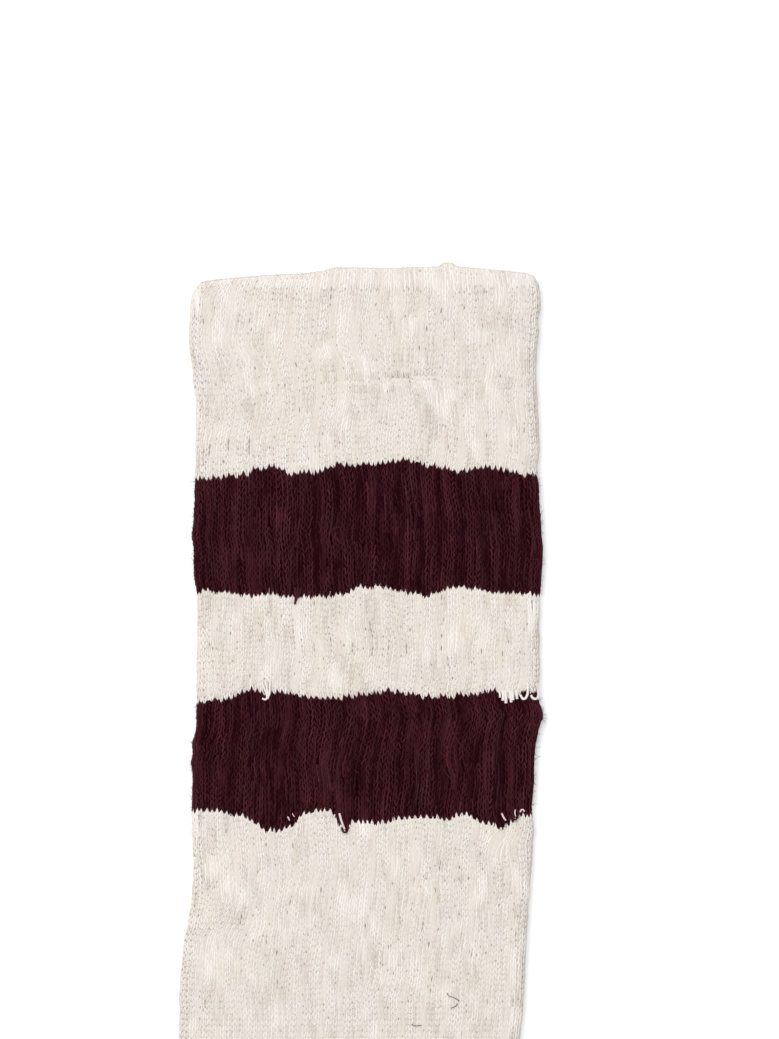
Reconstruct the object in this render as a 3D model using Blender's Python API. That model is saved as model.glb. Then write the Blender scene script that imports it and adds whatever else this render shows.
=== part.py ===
"""A distressed crew sock, knitted as one tube and laid flat on its side.

The sock lies on the plane z = 0. The cuff points along +Y, the heel towards +X and the toe towards -X.
The origin is below the middle of the whole sock's box. Everything is in metres.

The sock is one wall of cloth. Each section crosses the flattened tube from its front edge (shin, instep)
to its back edge (calf, heel, sole). The outer skin runs through the sections from the toe up to the cuff's
rim, turns over the rim, and runs back down inside to the toe.
"""
import math
from collections import namedtuple

import bmesh
import bpy
from mathutils import Vector

MM = 0.001

# ---- driving dimensions, in millimetres ----
FOOT_TURN = 30.0          # how far the foot points below square to the leg, in degrees
FOOT_WIDTH = 92.0         # instep to sole, laid flat
HEEL_BASE = (24.0, -324.0)  # where the sole's straight edge starts, measured from the middle of the cuff
TOE_START = 180.0         # along the foot from the heel base to where the toe begins to narrow
TOE_REACH = 42.0          # from there to the tip
TOE_BLUNTNESS = 0.82      # 1 rounds the toe off as an ellipse, less makes it squarer
FOLD_REACH = 3.0          # how far in from an edge the laid cloth takes to round over
RING_STEP = 5.2           # spacing of the outer rings
LINING_STEP = 10.5        # spacing of the rings inside, where nothing shows
TOP_SPANS = 15            # faces across the upper layer
BOTTOM_SPANS = 7          # faces across the lower layer
FOLD_SPANS = 5            # faces round each folded edge

CREAM = (0.791, 0.730, 0.665, 1.0)
CLOTH_ROUGHNESS = 0.95

# ---- sections down the leg and round the heel ----
# Plan positions are in millimetres from the middle of the cuff, with y along the leg. bow is how far a
# section's middle stands towards the cuff from the straight line between its ends. wall is the cloth's
# thickness, and gap is the slit between the two layers.
Section = namedtuple("Section", "place front_x front_y back_x back_y bow wall gap")
LEG_SECTIONS = (
    Section("rim",              -44.6,   -2.9,  46.4,   -1.6,  3.0, 2.20, 1.5),
    Section("rim corner",       -47.3,   -5.0,  48.0,   -4.0,  2.2, 2.25, 1.4),
    Section("upper welt",       -48.4,   -9.0,  48.7,   -9.5,  1.0, 2.25, 1.2),
    Section("middle welt",      -48.6,  -19.0,  48.3,  -19.0,  0.2, 2.25, 0.8),
    Section("end of welt",      -47.6,  -30.0,  47.7,  -30.5,  0.0, 2.15, 0.6),
    Section("below welt",       -46.8,  -41.0,  48.2,  -41.0,  0.0, 2.00, 0.6),
    Section("first stripe",     -47.2,  -54.0,  48.4,  -54.0,  0.0, 2.00, 0.6),
    Section("stripe middle",    -48.2,  -74.0,  48.4,  -74.0,  0.0, 2.00, 0.6),
    Section("between stripes",  -46.8,  -97.0,  48.3,  -97.0,  0.0, 2.00, 0.6),
    Section("second stripe",    -47.0, -117.0,  48.5, -117.0,  0.0, 2.00, 0.6),
    Section("slack edge",       -48.3, -135.0,  48.0, -135.0,  0.0, 2.00, 0.6),
    Section("below stripes",    -48.2, -152.0,  47.1, -152.0,  0.0, 2.00, 0.6),
    Section("lower leg",        -47.6, -170.0,  45.9, -169.0,  0.0, 2.00, 0.6),
    Section("leg turns",        -50.6, -188.0,  44.7, -187.0,  0.0, 2.00, 0.6),
    Section("end of coarse",    -51.6, -209.0,  43.4, -209.0,  0.0, 1.95, 0.6),
    Section("fine knit",        -52.3, -219.0,  41.6, -219.0,  0.0, 1.65, 0.6),
    Section("above ankle",      -53.2, -234.0,  36.8, -234.0,  0.0, 1.60, 0.6),
    Section("ankle",            -54.8, -247.0,  34.3, -248.0,  0.0, 1.60, 0.6),
    Section("achilles",         -57.4, -256.0,  35.4, -263.0,  0.0, 1.60, 0.6),
    Section("upper heel",       -60.4, -262.0,  38.8, -279.0,  0.0, 1.60, 0.6),
    Section("heel back",        -63.6, -266.4,  41.8, -295.0,  0.0, 1.60, 0.6),
    Section("heel corner",      -67.2, -269.8,  38.6, -311.0,  0.0, 1.60, 0.6),
    Section("heel base",        -71.6, -273.0,  25.5, -323.4,  0.0, 1.60, 0.6),
    Section("under heel",       -78.0, -276.8,   3.5, -335.4,  0.0, 1.60, 0.6),
    Section("arch",             -87.5, -282.2, -19.5, -347.4,  0.0, 1.60, 0.6),
    Section("middle foot",     -101.0, -289.8, -43.0, -360.8,  0.0, 1.60, 0.6),
)

# ---- straight sections of the foot, square to its line ----
# along is measured down the foot from the heel base. instep and sole say how far each edge stands out
# from the foot's straight width.
FootSection = namedtuple("FootSection", "place along instep sole wall gap")
FOOT_SECTIONS = (
    FootSection("front of arch", 118.0, -0.4, -1.0, 1.60, 0.6),
    FootSection("waist",         138.0, -0.8, -0.2, 1.60, 0.6),
    FootSection("ball",          160.0, -0.2,  0.6, 1.60, 0.6),
    FootSection("toe start",     TOE_START, 0.0, 0.4, 1.60, 0.6),
)
TOE_TURNS = (16, 31, 45, 57, 67, 75, 81, 85.5, 88.4)  # degrees round the toe, closer towards the tip

# ---- the largest folds and troughs of the upper layer ----
# x and y are the middle, from the middle of the cuff. length and width are from the middle to where the
# fold has nearly died out, turn is its lie from the X axis in degrees, and rise is its height.
Fold = namedtuple("Fold", "place x y length width turn rise")
FOLDS = (
    Fold("turned hem of the welt",    6.0,  -30.0, 26.0,  4.5,   2.0,  0.45),
    Fold("slack above first stripe", -22.0, -44.0, 15.0,  8.0,  70.0,  0.40),
    Fold("ladder below stripe",      -19.0, -101.0, 10.0,  4.5,  88.0, -0.45),
    Fold("ridge in second stripe",    -4.4, -139.0, 15.0,  5.0,  78.0,  0.80),
    Fold("pucker beside the ridge",   31.0, -137.0, 12.0,  6.0,  96.0,  0.45),
    Fold("slubbed patch",             19.0, -168.0, 15.0, 10.0,   8.0,  0.50),
    Fold("slack lower leg",          -24.0, -178.0, 20.0,  8.0,  60.0,  0.40),
    Fold("ankle fold",               -33.0, -252.0, 26.0,  6.5, -22.0,  0.80),
    Fold("hollow below ankle fold",  -36.0, -263.0, 22.0,  6.0, -26.0, -0.50),
    Fold("heel fullness",             16.0, -296.0, 22.0, 16.0, -35.0,  0.70),
    Fold("arch slack",               -52.0, -322.0, 26.0,  9.0,  24.0,  0.50),
    Fold("toe seam",                -136.0, -352.0, 18.0,  4.5,  72.0,  0.45),
)

Ring = namedtuple("Ring", "front back bow wall gap swell")


def clear_objects():
    """Empty the file of whatever it opened with."""
    for item in list(bpy.data.objects):
        bpy.data.objects.remove(item, do_unlink=True)


def foot_directions():
    """Unit vectors along the foot, towards the toe, and across it, from sole to instep."""
    turn = math.radians(FOOT_TURN)
    along = Vector((-math.cos(turn), -math.sin(turn)))
    across = Vector((-math.sin(turn), math.cos(turn)))
    return along, across


def leg_rings():
    """The rows of the leg and heel as rings, from the rim down."""
    return [Ring(Vector((row.front_x, row.front_y)), Vector((row.back_x, row.back_y)),
                 row.bow, row.wall, row.gap, 1.0) for row in LEG_SECTIONS]


def foot_rings():
    """The straight sections of the foot as rings, from the arch to where the toe starts."""
    along, across = foot_directions()
    rings = []
    for row in FOOT_SECTIONS:
        sole = Vector(HEEL_BASE) + along * row.along
        rings.append(Ring(sole + across * (FOOT_WIDTH + row.instep), sole - across * row.sole,
                          0.0, row.wall, row.gap, 1.0))
    return rings


def toe_rings(start, shorten):
    """Rings that round off the toe after the ring start, with the tip drawn back by shorten."""
    along, across = foot_directions()
    middle = (start.front + start.back) / 2
    half_width = (start.front - start.back).length / 2
    reach = TOE_REACH - shorten
    edge = max(FOLD_REACH - shorten, FOLD_REACH / 3)
    rings = []
    for degrees in TOE_TURNS:
        angle = math.radians(degrees)
        centre = middle + along * reach * math.sin(angle)
        half = across * half_width * math.cos(angle) ** TOE_BLUNTNESS
        to_tip = reach * (1 - math.sin(angle))
        swell = rounding(to_tip, edge)
        rings.append(Ring(centre + half, centre - half, 0.0, start.wall, start.gap, swell))
    return rings, middle + along * reach


def rounding(distance, reach):
    """Share of the full thickness that laid cloth has at a distance in from its folded edge."""
    inward = min(max(distance / reach, 0.0), 1.0)
    return math.sqrt(1 - (1 - inward) ** 2)


def curve_through(before, start, end, after, share):
    """Catmull-Rom value between start and end; works on numbers and on vectors."""
    pull_in = (end - before) * 0.5
    pull_out = (after - start) * 0.5
    square = share * share
    cube = square * share
    return (start * (2 * cube - 3 * square + 1) + pull_in * (cube - 2 * square + share)
            + end * (3 * square - 2 * cube) + pull_out * (cube - square))


def refine(rows, step):
    """Rings read from smooth curves through the rows, about step apart."""
    rings = []
    for index in range(len(rows) - 1):
        before = rows[max(index - 1, 0)]
        start, end = rows[index], rows[index + 1]
        after = rows[min(index + 2, len(rows) - 1)]
        spacing = ((end.front - start.front).length + (end.back - start.back).length) / 2
        count = max(1, round(spacing / step))
        for part in range(count):
            share = part / count
            rings.append(Ring(*(curve_through(*values, share) for values in zip(before, start, end, after))))
    rings.append(rows[-1])
    return rings


def fold_rise(x, y):
    """Height that the listed folds add to the upper layer at a place in plan."""
    total = 0.0
    for fold in FOLDS:
        turn = math.radians(fold.turn)
        dx, dy = x - fold.x, y - fold.y
        lengthwise = (dx * math.cos(turn) + dy * math.sin(turn)) / fold.length
        sideways = (dy * math.cos(turn) - dx * math.sin(turn)) / fold.width
        total += fold.rise * math.exp(-2.5 * (lengthwise ** 2 + sideways ** 2))
    return total


def ring_points(ring, inset):
    """Points round one ring: lower layer from front to back, back fold, upper layer, front fold.

    inset is 0 on the outer skin and the wall's thickness on the inner one.
    """
    across = (ring.back - ring.front).normalized()
    up_leg = Vector((-across.y, across.x))
    full = 2 * ring.wall + ring.gap
    middle = full / 2
    half_height = (middle - inset) * ring.swell
    width = (ring.back - ring.front).length
    inset_ends = min(inset, width * 0.3)
    reach = min(max(FOLD_REACH - inset, FOLD_REACH / 4), (width / 2 - inset_ends) * 0.8)
    first, last = inset_ends + reach, width - inset_ends - reach

    stations = []
    for part in range(BOTTOM_SPANS + 1):
        stations.append((first + (last - first) * part / BOTTOM_SPANS, -1.0, 0.0))
    for part in range(1, FOLD_SPANS):
        angle = math.pi * (part / FOLD_SPANS - 0.5)
        stations.append((last + reach * math.cos(angle), math.sin(angle), 0.0))
    for part in range(TOP_SPANS + 1):
        share = part / TOP_SPANS
        stations.append((last + (first - last) * share, 1.0, math.sin(math.pi * share) ** 0.5))
    for part in range(1, FOLD_SPANS):
        angle = math.pi * (0.5 - part / FOLD_SPANS)
        stations.append((first - reach * math.cos(angle), math.sin(angle), 0.0))

    points = []
    for distance, side, free in stations:
        share = distance / width
        plan = ring.front + across * distance + up_leg * ring.bow * 4 * share * (1 - share)
        lift = fold_rise(plan.x, plan.y) * free * ring.swell if inset == 0 else 0.0
        points.append(Vector((plan.x, plan.y, middle + half_height * side + lift)))
    return points


def skin(step, wall_share):
    """One skin of the cloth from the rim down to the toe: its rings of points and its tip.

    wall_share is 0 for the outer skin and 1 for the inner one.
    """
    rows = refine(leg_rings() + foot_rings(), step)
    toe, tip = toe_rings(rows[-1], wall_share * rows[-1].wall)
    rings = [ring_points(ring, wall_share * ring.wall) for ring in rows + toe]
    tip_height = rows[-1].wall + rows[-1].gap / 2
    return rings, Vector((tip.x, tip.y, tip_height))


def loft(mesh, rings, first_tip, last_tip):
    """Join rings of equal count by faces, and close each end to its tip."""
    loops = [[mesh.verts.new(point) for point in ring] for ring in rings]
    count = len(loops[0])
    for near, far in zip(loops, loops[1:]):
        for index in range(count):
            after = (index + 1) % count
            mesh.faces.new((near[index], near[after], far[after], far[index]))
    for loop, tip in ((loops[0], mesh.verts.new(first_tip)), (loops[-1], mesh.verts.new(last_tip))):
        for index in range(count):
            mesh.faces.new((loop[index], loop[(index + 1) % count], tip))
    bmesh.ops.recalc_face_normals(mesh, faces=mesh.faces)


def stand_on_origin(mesh):
    """Move the mesh so that the middle of its box, seen from above, is over the origin."""
    for axis in (0, 1):
        values = [vertex.co[axis] for vertex in mesh.verts]
        middle = (min(values) + max(values)) / 2
        for vertex in mesh.verts:
            vertex.co[axis] -= middle


def cream_cloth():
    """Plain material for the knitted cloth."""
    material = bpy.data.materials.new("cream_knit")
    material.use_nodes = True
    shader = material.node_tree.nodes["Principled BSDF"]
    shader.inputs["Base Color"].default_value = CREAM
    shader.inputs["Roughness"].default_value = CLOTH_ROUGHNESS
    shader.inputs["Metallic"].default_value = 0.0
    return material


def make_sock(collection):
    """The whole sock: outer skin from toe to rim, over the rim, and the inner skin back to the toe."""
    outer, outer_tip = skin(RING_STEP, 0.0)
    inner, inner_tip = skin(LINING_STEP, 1.0)
    build = bmesh.new()
    loft(build, outer[::-1] + inner, outer_tip, inner_tip)
    stand_on_origin(build)
    bmesh.ops.scale(build, vec=Vector((MM, MM, MM)), verts=build.verts)
    mesh = bpy.data.meshes.new("sock")
    build.to_mesh(mesh)
    build.free()
    mesh.shade_smooth()
    mesh.materials.append(cream_cloth())
    sock = bpy.data.objects.new("sock", mesh)
    collection.objects.link(sock)
    return sock


def main():
    clear_objects()
    collection = bpy.data.collections.new("holey_sock")
    bpy.context.scene.collection.children.link(collection)
    make_sock(collection)


main()
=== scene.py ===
import math
from collections import namedtuple

import bpy
import numpy as np
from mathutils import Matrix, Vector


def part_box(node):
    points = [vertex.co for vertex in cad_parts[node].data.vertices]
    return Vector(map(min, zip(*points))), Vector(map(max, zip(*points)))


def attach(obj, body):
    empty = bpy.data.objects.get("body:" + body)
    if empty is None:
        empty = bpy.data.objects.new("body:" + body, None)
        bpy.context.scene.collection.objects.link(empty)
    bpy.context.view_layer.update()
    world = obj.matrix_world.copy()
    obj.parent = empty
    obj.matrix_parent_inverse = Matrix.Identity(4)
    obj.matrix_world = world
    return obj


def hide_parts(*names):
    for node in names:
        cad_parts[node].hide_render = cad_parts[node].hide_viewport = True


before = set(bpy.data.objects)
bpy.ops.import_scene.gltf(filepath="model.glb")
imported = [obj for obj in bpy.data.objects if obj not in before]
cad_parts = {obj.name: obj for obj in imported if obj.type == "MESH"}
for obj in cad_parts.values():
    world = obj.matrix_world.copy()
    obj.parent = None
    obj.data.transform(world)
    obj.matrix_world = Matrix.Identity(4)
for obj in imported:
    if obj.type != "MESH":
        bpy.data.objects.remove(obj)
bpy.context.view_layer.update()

MM = 0.001

# ---- the knit, in millimetres ----
WALES = 138              # columns of stitches round the tube
WALE_WIDTH = 1.43
RIB_WALES = 4            # every fourth wale sinks a little, as a faint rib, and its stitches are painted darker as shade
COURSE = 1.68            # height of one row of stitches in the coarse leg
FINE_COURSE = 0.74       # height of one row in the fine knit
LOOP_HEIGHT = 0.28       # how far the cream stitches stand out of the backing
STRIPE_LOOP_HEIGHT = 0.41   # the same for the burgundy stitches
FOLD_REACH = 3.0         # how far in from an edge the laid cloth takes to round over
HALF_LEG = 48.0          # about half of the laid leg's width
LEG_EDGE = 48.5          # where the wales no longer wander, across the leg
FOLD_FALL = 2.5          # how steeply folds and troughs end
RIM_START = 3.4          # where the cloth begins to turn over the rim
HEM = 30.0               # where the welt ends
TOOTH = 0.20             # how much further up, in courses, a new colour's first stitches reach
LOW_ASIDE, HIGH_ASIDE = 0.10, 0.42      # the ends of a stitch's leg, in wales from its wale's middle
LEG_MIDDLE, HALF_REACH = 0.22, 0.60     # its middle below its course, and its reach either way, in courses
LOW_BASE, HIGH_BASE = -0.30, -0.28      # how deep its ends dive
LEG_BREADTH = 0.30       # half its breadth
CREAM_THICKNESS, BURGUNDY_THICKNESS = 0.28, 0.26    # half its thickness
OVERLAP = 0.64           # half its length, in distances between its ends
LIT_WALES = 2.5          # how many wales in from the front edge the burgundy is painted paler, a painted highlight where the edge rounds over
RIM_WAVE_DEPTH = 7.0     # how far down the leg the rim's waves die away
TURNED_IN = 9.0          # how far the coarse stitches are carried down inside the mouth
FIRST_COURSE = 10        # courses kept above the rim's datum for the turned-in stitches
COARSE_END = 213.5       # where the coarse leg gives way to the fine knit
UNDER_SHIFT = 400.0      # how far off the under layer reads every random field
PINHOLES = 450           # small chance holes on each face of the coarse leg
SLUB_SLITS = 0.027       # chance that a slit starts at a stitch of a slub
PALEST = 0.70            # tone of the palest cream yarn, from 0, dark, to 1, light
NARROWEST_HOLLOW = 0.22  # partings narrower than this show no dark hollow
LAYING_FIELDS = ("along", "outward", "half_size")   # point attributes that place a stitch or fibre

# ---- the foot, in millimetres and degrees ----
FOOT_TURN = 30.0
FOOT_WIDTH = 92.0
HEEL_BASE = (24.0, -324.0)
TOE_START = 180.0
TOE_REACH = 42.0
TOE_BLUNTNESS = 0.82
TOE_ROUND = 4.0          # the last of the toe, whose rings close up
TOE_SEAM = 25.0          # how far back from the toe's end its linked seam lies
LEG_RINGS, FOOT_RINGS = 1.2, 1.25       # spacing of the cloth's rings

# ---- colours, and the streaks of the fine knit across and along it ----
CREAM_DOWN, BURGUNDY_DOWN = (1.0, 0.97, 0.93), (0.55, 0.10, 0.14)
PLAIN_COLOURS = (
    ("burgundy_down", "burgundy_down", (0.085, 0.037, 0.043)),
    # the two backing colours, darker than their yarns: painted shade where the back of the knit shows between
    # stitches
    ("back_shade", "knit_back_shade", (0.69, 0.635, 0.58)),
    ("dark_back_shade", "stripe_back_shade", (0.0145, 0.0017, 0.0032)),
    # the two hollow colours: painted shade in the holes where the knit has parted
    ("hollow", "hole_shade", (0.32, 0.28, 0.245)),
    ("dark_hollow_shade", "stripe_hole_shade", (0.003, 0.0006, 0.001)),
    ("hair", "dark_hair", (0.07, 0.048, 0.034)),
    ("stained", "stained_yarn", (0.76, 0.58, 0.585)),
)
STREAK_SCALE = (9.0, 620.0, 1.0)


def rows_of(kind, rows):
    """A short table whose columns have the names of a kind of row."""
    return [kind(*row) for row in rows]


# ---- sections down the leg and round the heel, from the middle of the cuff's rim ----
Section = namedtuple("Section", "place front_x front_y back_x back_y bow wall gap")
LEG_SECTIONS = (
    Section("rim",              -44.6,   -2.9,  46.4,   -1.6,  3.0, 2.20, 1.5),
    Section("rim corner",       -47.3,   -5.0,  48.0,   -4.0,  2.2, 2.25, 1.4),
    Section("upper welt",       -48.4,   -9.0,  48.7,   -9.5,  1.0, 2.25, 1.2),
    Section("middle welt",      -48.6,  -19.0,  48.3,  -19.0,  0.2, 2.25, 0.8),
    Section("end of welt",      -47.6,  -30.0,  47.7,  -30.5,  0.0, 2.15, 0.6),
    Section("below welt",       -46.8,  -41.0,  48.2,  -41.0,  0.0, 2.00, 0.6),
    Section("first stripe",     -47.2,  -54.0,  48.4,  -54.0,  0.0, 2.00, 0.6),
    Section("stripe middle",    -48.2,  -74.0,  48.4,  -74.0,  0.0, 2.00, 0.6),
    Section("between stripes",  -46.8,  -97.0,  48.3,  -97.0,  0.0, 2.00, 0.6),
    Section("second stripe",    -47.0, -117.0,  48.5, -117.0,  0.0, 2.00, 0.6),
    Section("slack edge",       -48.3, -135.0,  48.0, -135.0,  0.0, 2.00, 0.6),
    Section("below stripes",    -48.2, -152.0,  47.1, -152.0,  0.0, 2.00, 0.6),
    Section("lower leg",        -47.6, -170.0,  45.9, -169.0,  0.0, 2.00, 0.6),
    Section("leg turns",        -50.6, -188.0,  44.7, -187.0,  0.0, 2.00, 0.6),
    Section("end of coarse",    -51.6, -209.0,  43.4, -209.0,  0.0, 1.95, 0.6),
    Section("fine knit",        -52.3, -219.0,  41.6, -219.0,  0.0, 1.65, 0.6),
    Section("above ankle",      -53.2, -234.0,  36.8, -234.0,  0.0, 1.60, 0.6),
    Section("ankle",            -54.8, -247.0,  34.3, -248.0,  0.0, 1.60, 0.6),
    Section("achilles",         -57.4, -256.0,  35.4, -263.0,  0.0, 1.60, 0.6),
    Section("upper heel",       -60.4, -262.0,  38.8, -279.0,  0.0, 1.60, 0.6),
    Section("heel back",        -63.6, -266.4,  41.8, -295.0,  0.0, 1.60, 0.6),
    Section("heel corner",      -67.2, -269.8,  38.6, -311.0,  0.0, 1.60, 0.6),
    Section("heel base",        -71.6, -273.0,  25.5, -323.4,  0.0, 1.60, 0.6),
    Section("under heel",       -78.0, -276.8,   3.5, -335.4,  0.0, 1.60, 0.6),
    Section("arch",             -87.5, -282.2, -19.5, -347.4,  0.0, 1.60, 0.6),
    Section("middle foot",     -101.0, -289.8, -43.0, -360.8,  0.0, 1.60, 0.6),
)
FootSection = namedtuple("FootSection", "place along instep sole wall gap")
FOOT_SECTIONS = (
    FootSection("front of arch", 118.0, -0.4, -1.0, 1.60, 0.6),
    FootSection("waist",         138.0, -0.8, -0.2, 1.60, 0.6),
    FootSection("ball",          160.0, -0.2,  0.6, 1.60, 0.6),
    FootSection("toe start",     TOE_START, 0.0, 0.4, 1.60, 0.6),
)

# ---- folds and troughs of the upper layer: middle, reach along and across, lie in degrees, height ----
Fold = namedtuple("Fold", "place x drop length width turn rise")
FOLDS = (
    Fold("turned hem of the welt",    8.0,   30.6, 24.0,  2.2,   2.0,  0.50),
    Fold("tuck above the hem",       13.0,   28.4, 13.0,  0.9,   2.0, -0.40),
    Fold("slack above first stripe", -22.0,  44.0, 15.0,  8.0,  70.0,  0.25),
    Fold("ladder below stripe",      -19.0, 101.0, 10.0,  1.6,  88.0, -0.40),
    Fold("smooth strip by the ladder", -17.4, 98.0, 8.0,  1.6,  88.0,  0.20),
    Fold("ridge in second stripe",    -4.8, 138.0, 14.0,  3.0,  76.0,  0.90),
    Fold("pocket under the ridge",    -2.6, 142.5,  7.0,  1.8,  84.0, -0.80),
    Fold("pull to the first dip",    -26.5, 146.0, 10.0,  3.0,  84.0,  0.45),
    Fold("pucker beside the ridge",   31.0, 137.0, 12.0,  5.0,  96.0,  0.30),
    Fold("slubbed patch",             19.0, 168.0, 13.0,  9.0,   8.0,  0.35),
    Fold("slack lower leg",          -24.0, 178.0, 20.0,  8.0,  60.0,  0.12),
    Fold("ankle fold",               -33.0, 252.0, 26.0,  6.5, -22.0,  0.80),
    Fold("hollow below ankle fold",  -36.0, 263.0, 22.0,  6.0, -26.0, -0.50),
    Fold("heel fullness",             16.0, 296.0, 22.0, 16.0, -35.0,  0.70),
    Fold("arch slack",               -52.0, 322.0, 26.0,  9.0,  24.0,  0.50),
    Fold("toe seam",                -136.0, 352.0, 18.0,  4.5,  72.0,  0.45),
)

# ---- how far the rim stands above its even curve, across the leg ----
RIM_WAVES = ((-50, 0.0), (-30, -0.3), (-17, -0.7), (-12, -0.2), (-8, 0.9), (-4, 0.7), (6, 0.3), (17, 0.8),
             (20.5, 1.3), (22, 2.5), (24, 2.5), (25.5, 1.4), (30, 1.2), (37, 1.1), (44, 0.9), (50, 0.2))

# ---- where the two laid edges bulge or are nicked ----
EdgeBump = namedtuple("EdgeBump", "edge drop reach rise")
EDGE_BUMPS = rows_of(EdgeBump, (
    ("back", 8.5, 3.5, 0.1), ("back", 14.5, 1.8, -0.5), ("back", 24, 6, -0.5),
    ("back", 117.5, 3.2, -0.9), ("back", 123.8, 2.6, 1.3), ("back", 137, 9, -1.1),
    ("back", 149, 4, -0.8), ("back", 56, 3.5, -0.7), ("back", 78, 9, 0.9), ("front", 131.6, 1.6, 0.8),
    ("front", 136.4, 2, 0.9), ("front", 69, 5, 0.3), ("front", 72, 16, -0.8), ("front", 133, 16, -0.9),
    ("front", 74, 1.6, 0.5), ("front", 92, 5, -0.4),
))

# ---- how each border of the stripes waves: by its level in the even knit, how far across the leg and
# how far down the leg it lies ----
BORDER_WAVES = {
    54.75: ((-48, 58.4), (-40, 58.1), (-34, 57.8), (-30, 55.8), (-25, 55.2), (-18, 57.0), (-12, 56.5),
        (-5, 54.6), (4, 54.3), (12, 53.2), (19, 54.6), (26, 56.0), (34, 54.9), (48, 57.4)),
    88.4: ((-48, 89.8), (-43, 89.1), (-31, 91.1), (-26, 90.3), (-14, 91.4), (-9, 90.8), (-1, 87.8),
        (5, 88.3), (15, 91.3), (19, 89.9), (26, 88.3), (34, 89.7), (48, 90.5)),
    116.67: ((-48, 120.0), (-38, 119.2), (-31, 116.0), (-27, 117.2), (-23, 116.7), (-11, 119.1),
        (-5, 118.4), (7, 116.4), (19, 118.9), (27, 117.8), (36, 116.9), (40, 118.3), (43, 117.4),
        (48, 117.0)),
    150.95: ((-48, 150.5), (-45, 150.4), (-43.7, 151.2), (-42.4, 150.1), (-40, 149.9), (-33, 152.1),
        (-27, 155.3), (-23, 155.7), (-20, 154.4), (-16, 150.9), (-10, 150.0), (-8.8, 150.6),
        (-7.6, 154.4), (-5, 156.0), (-3.4, 153.6), (4, 153.7), (16, 151.7), (23, 152.5), (27, 151.3),
        (32, 153.3), (36, 155.5), (40, 152.7), (43, 151.2), (45, 152.2), (48, 152.8)),
}
STRIPES = tuple(zip(list(BORDER_WAVES)[::2], list(BORDER_WAVES)[1::2]))

# ---- where the wales lean: middle, reach across and down, and slant in degrees, + when they run
# towards the front edge on their way down ----
Lean = namedtuple("Lean", "x drop reach_x reach_down slant")
LEANS = rows_of(Lean, (
    (-42, 5, 5, 5, 20), (-30, 24, 18, 6, -17), (-9, 24, 8, 5, -14), (-28, 42, 24, 11, 15),
    (-6, 38, 9, 9, 12), (13, 33, 5, 4, -12), (12, 44, 8, 7, 8), (36, 31, 9, 7, 16), (20, 27, 6, 5, 10),
    (24, 64, 6, 6, -10), (40, 68, 7, 7, -9), (-9, 68, 8, 6, 7), (14, 75, 5, 6, 8), (-3, 99, 8, 5, -9),
    (-12, 109, 14, 6, 14), (6, 109, 8, 6, 9), (34, 101, 10, 6, 8), (0, 134, 10, 8, 16),
    (25, 137, 5, 6, -19), (42, 125, 5, 6, 12), (9, 144, 8, 7, 10), (-19, 151, 8, 7, 15),
    (38, 156, 7, 6, 25), (-12, 169, 14, 7, 12), (-36, 182, 10, 9, 18), (-24, 190, 14, 8, 10),
    (4, 199, 9, 6, 13), (-32, 199, 9, 6, 12), (18, 169, 6, 5, -7), (26, 193, 6, 4, -9),
))

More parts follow.
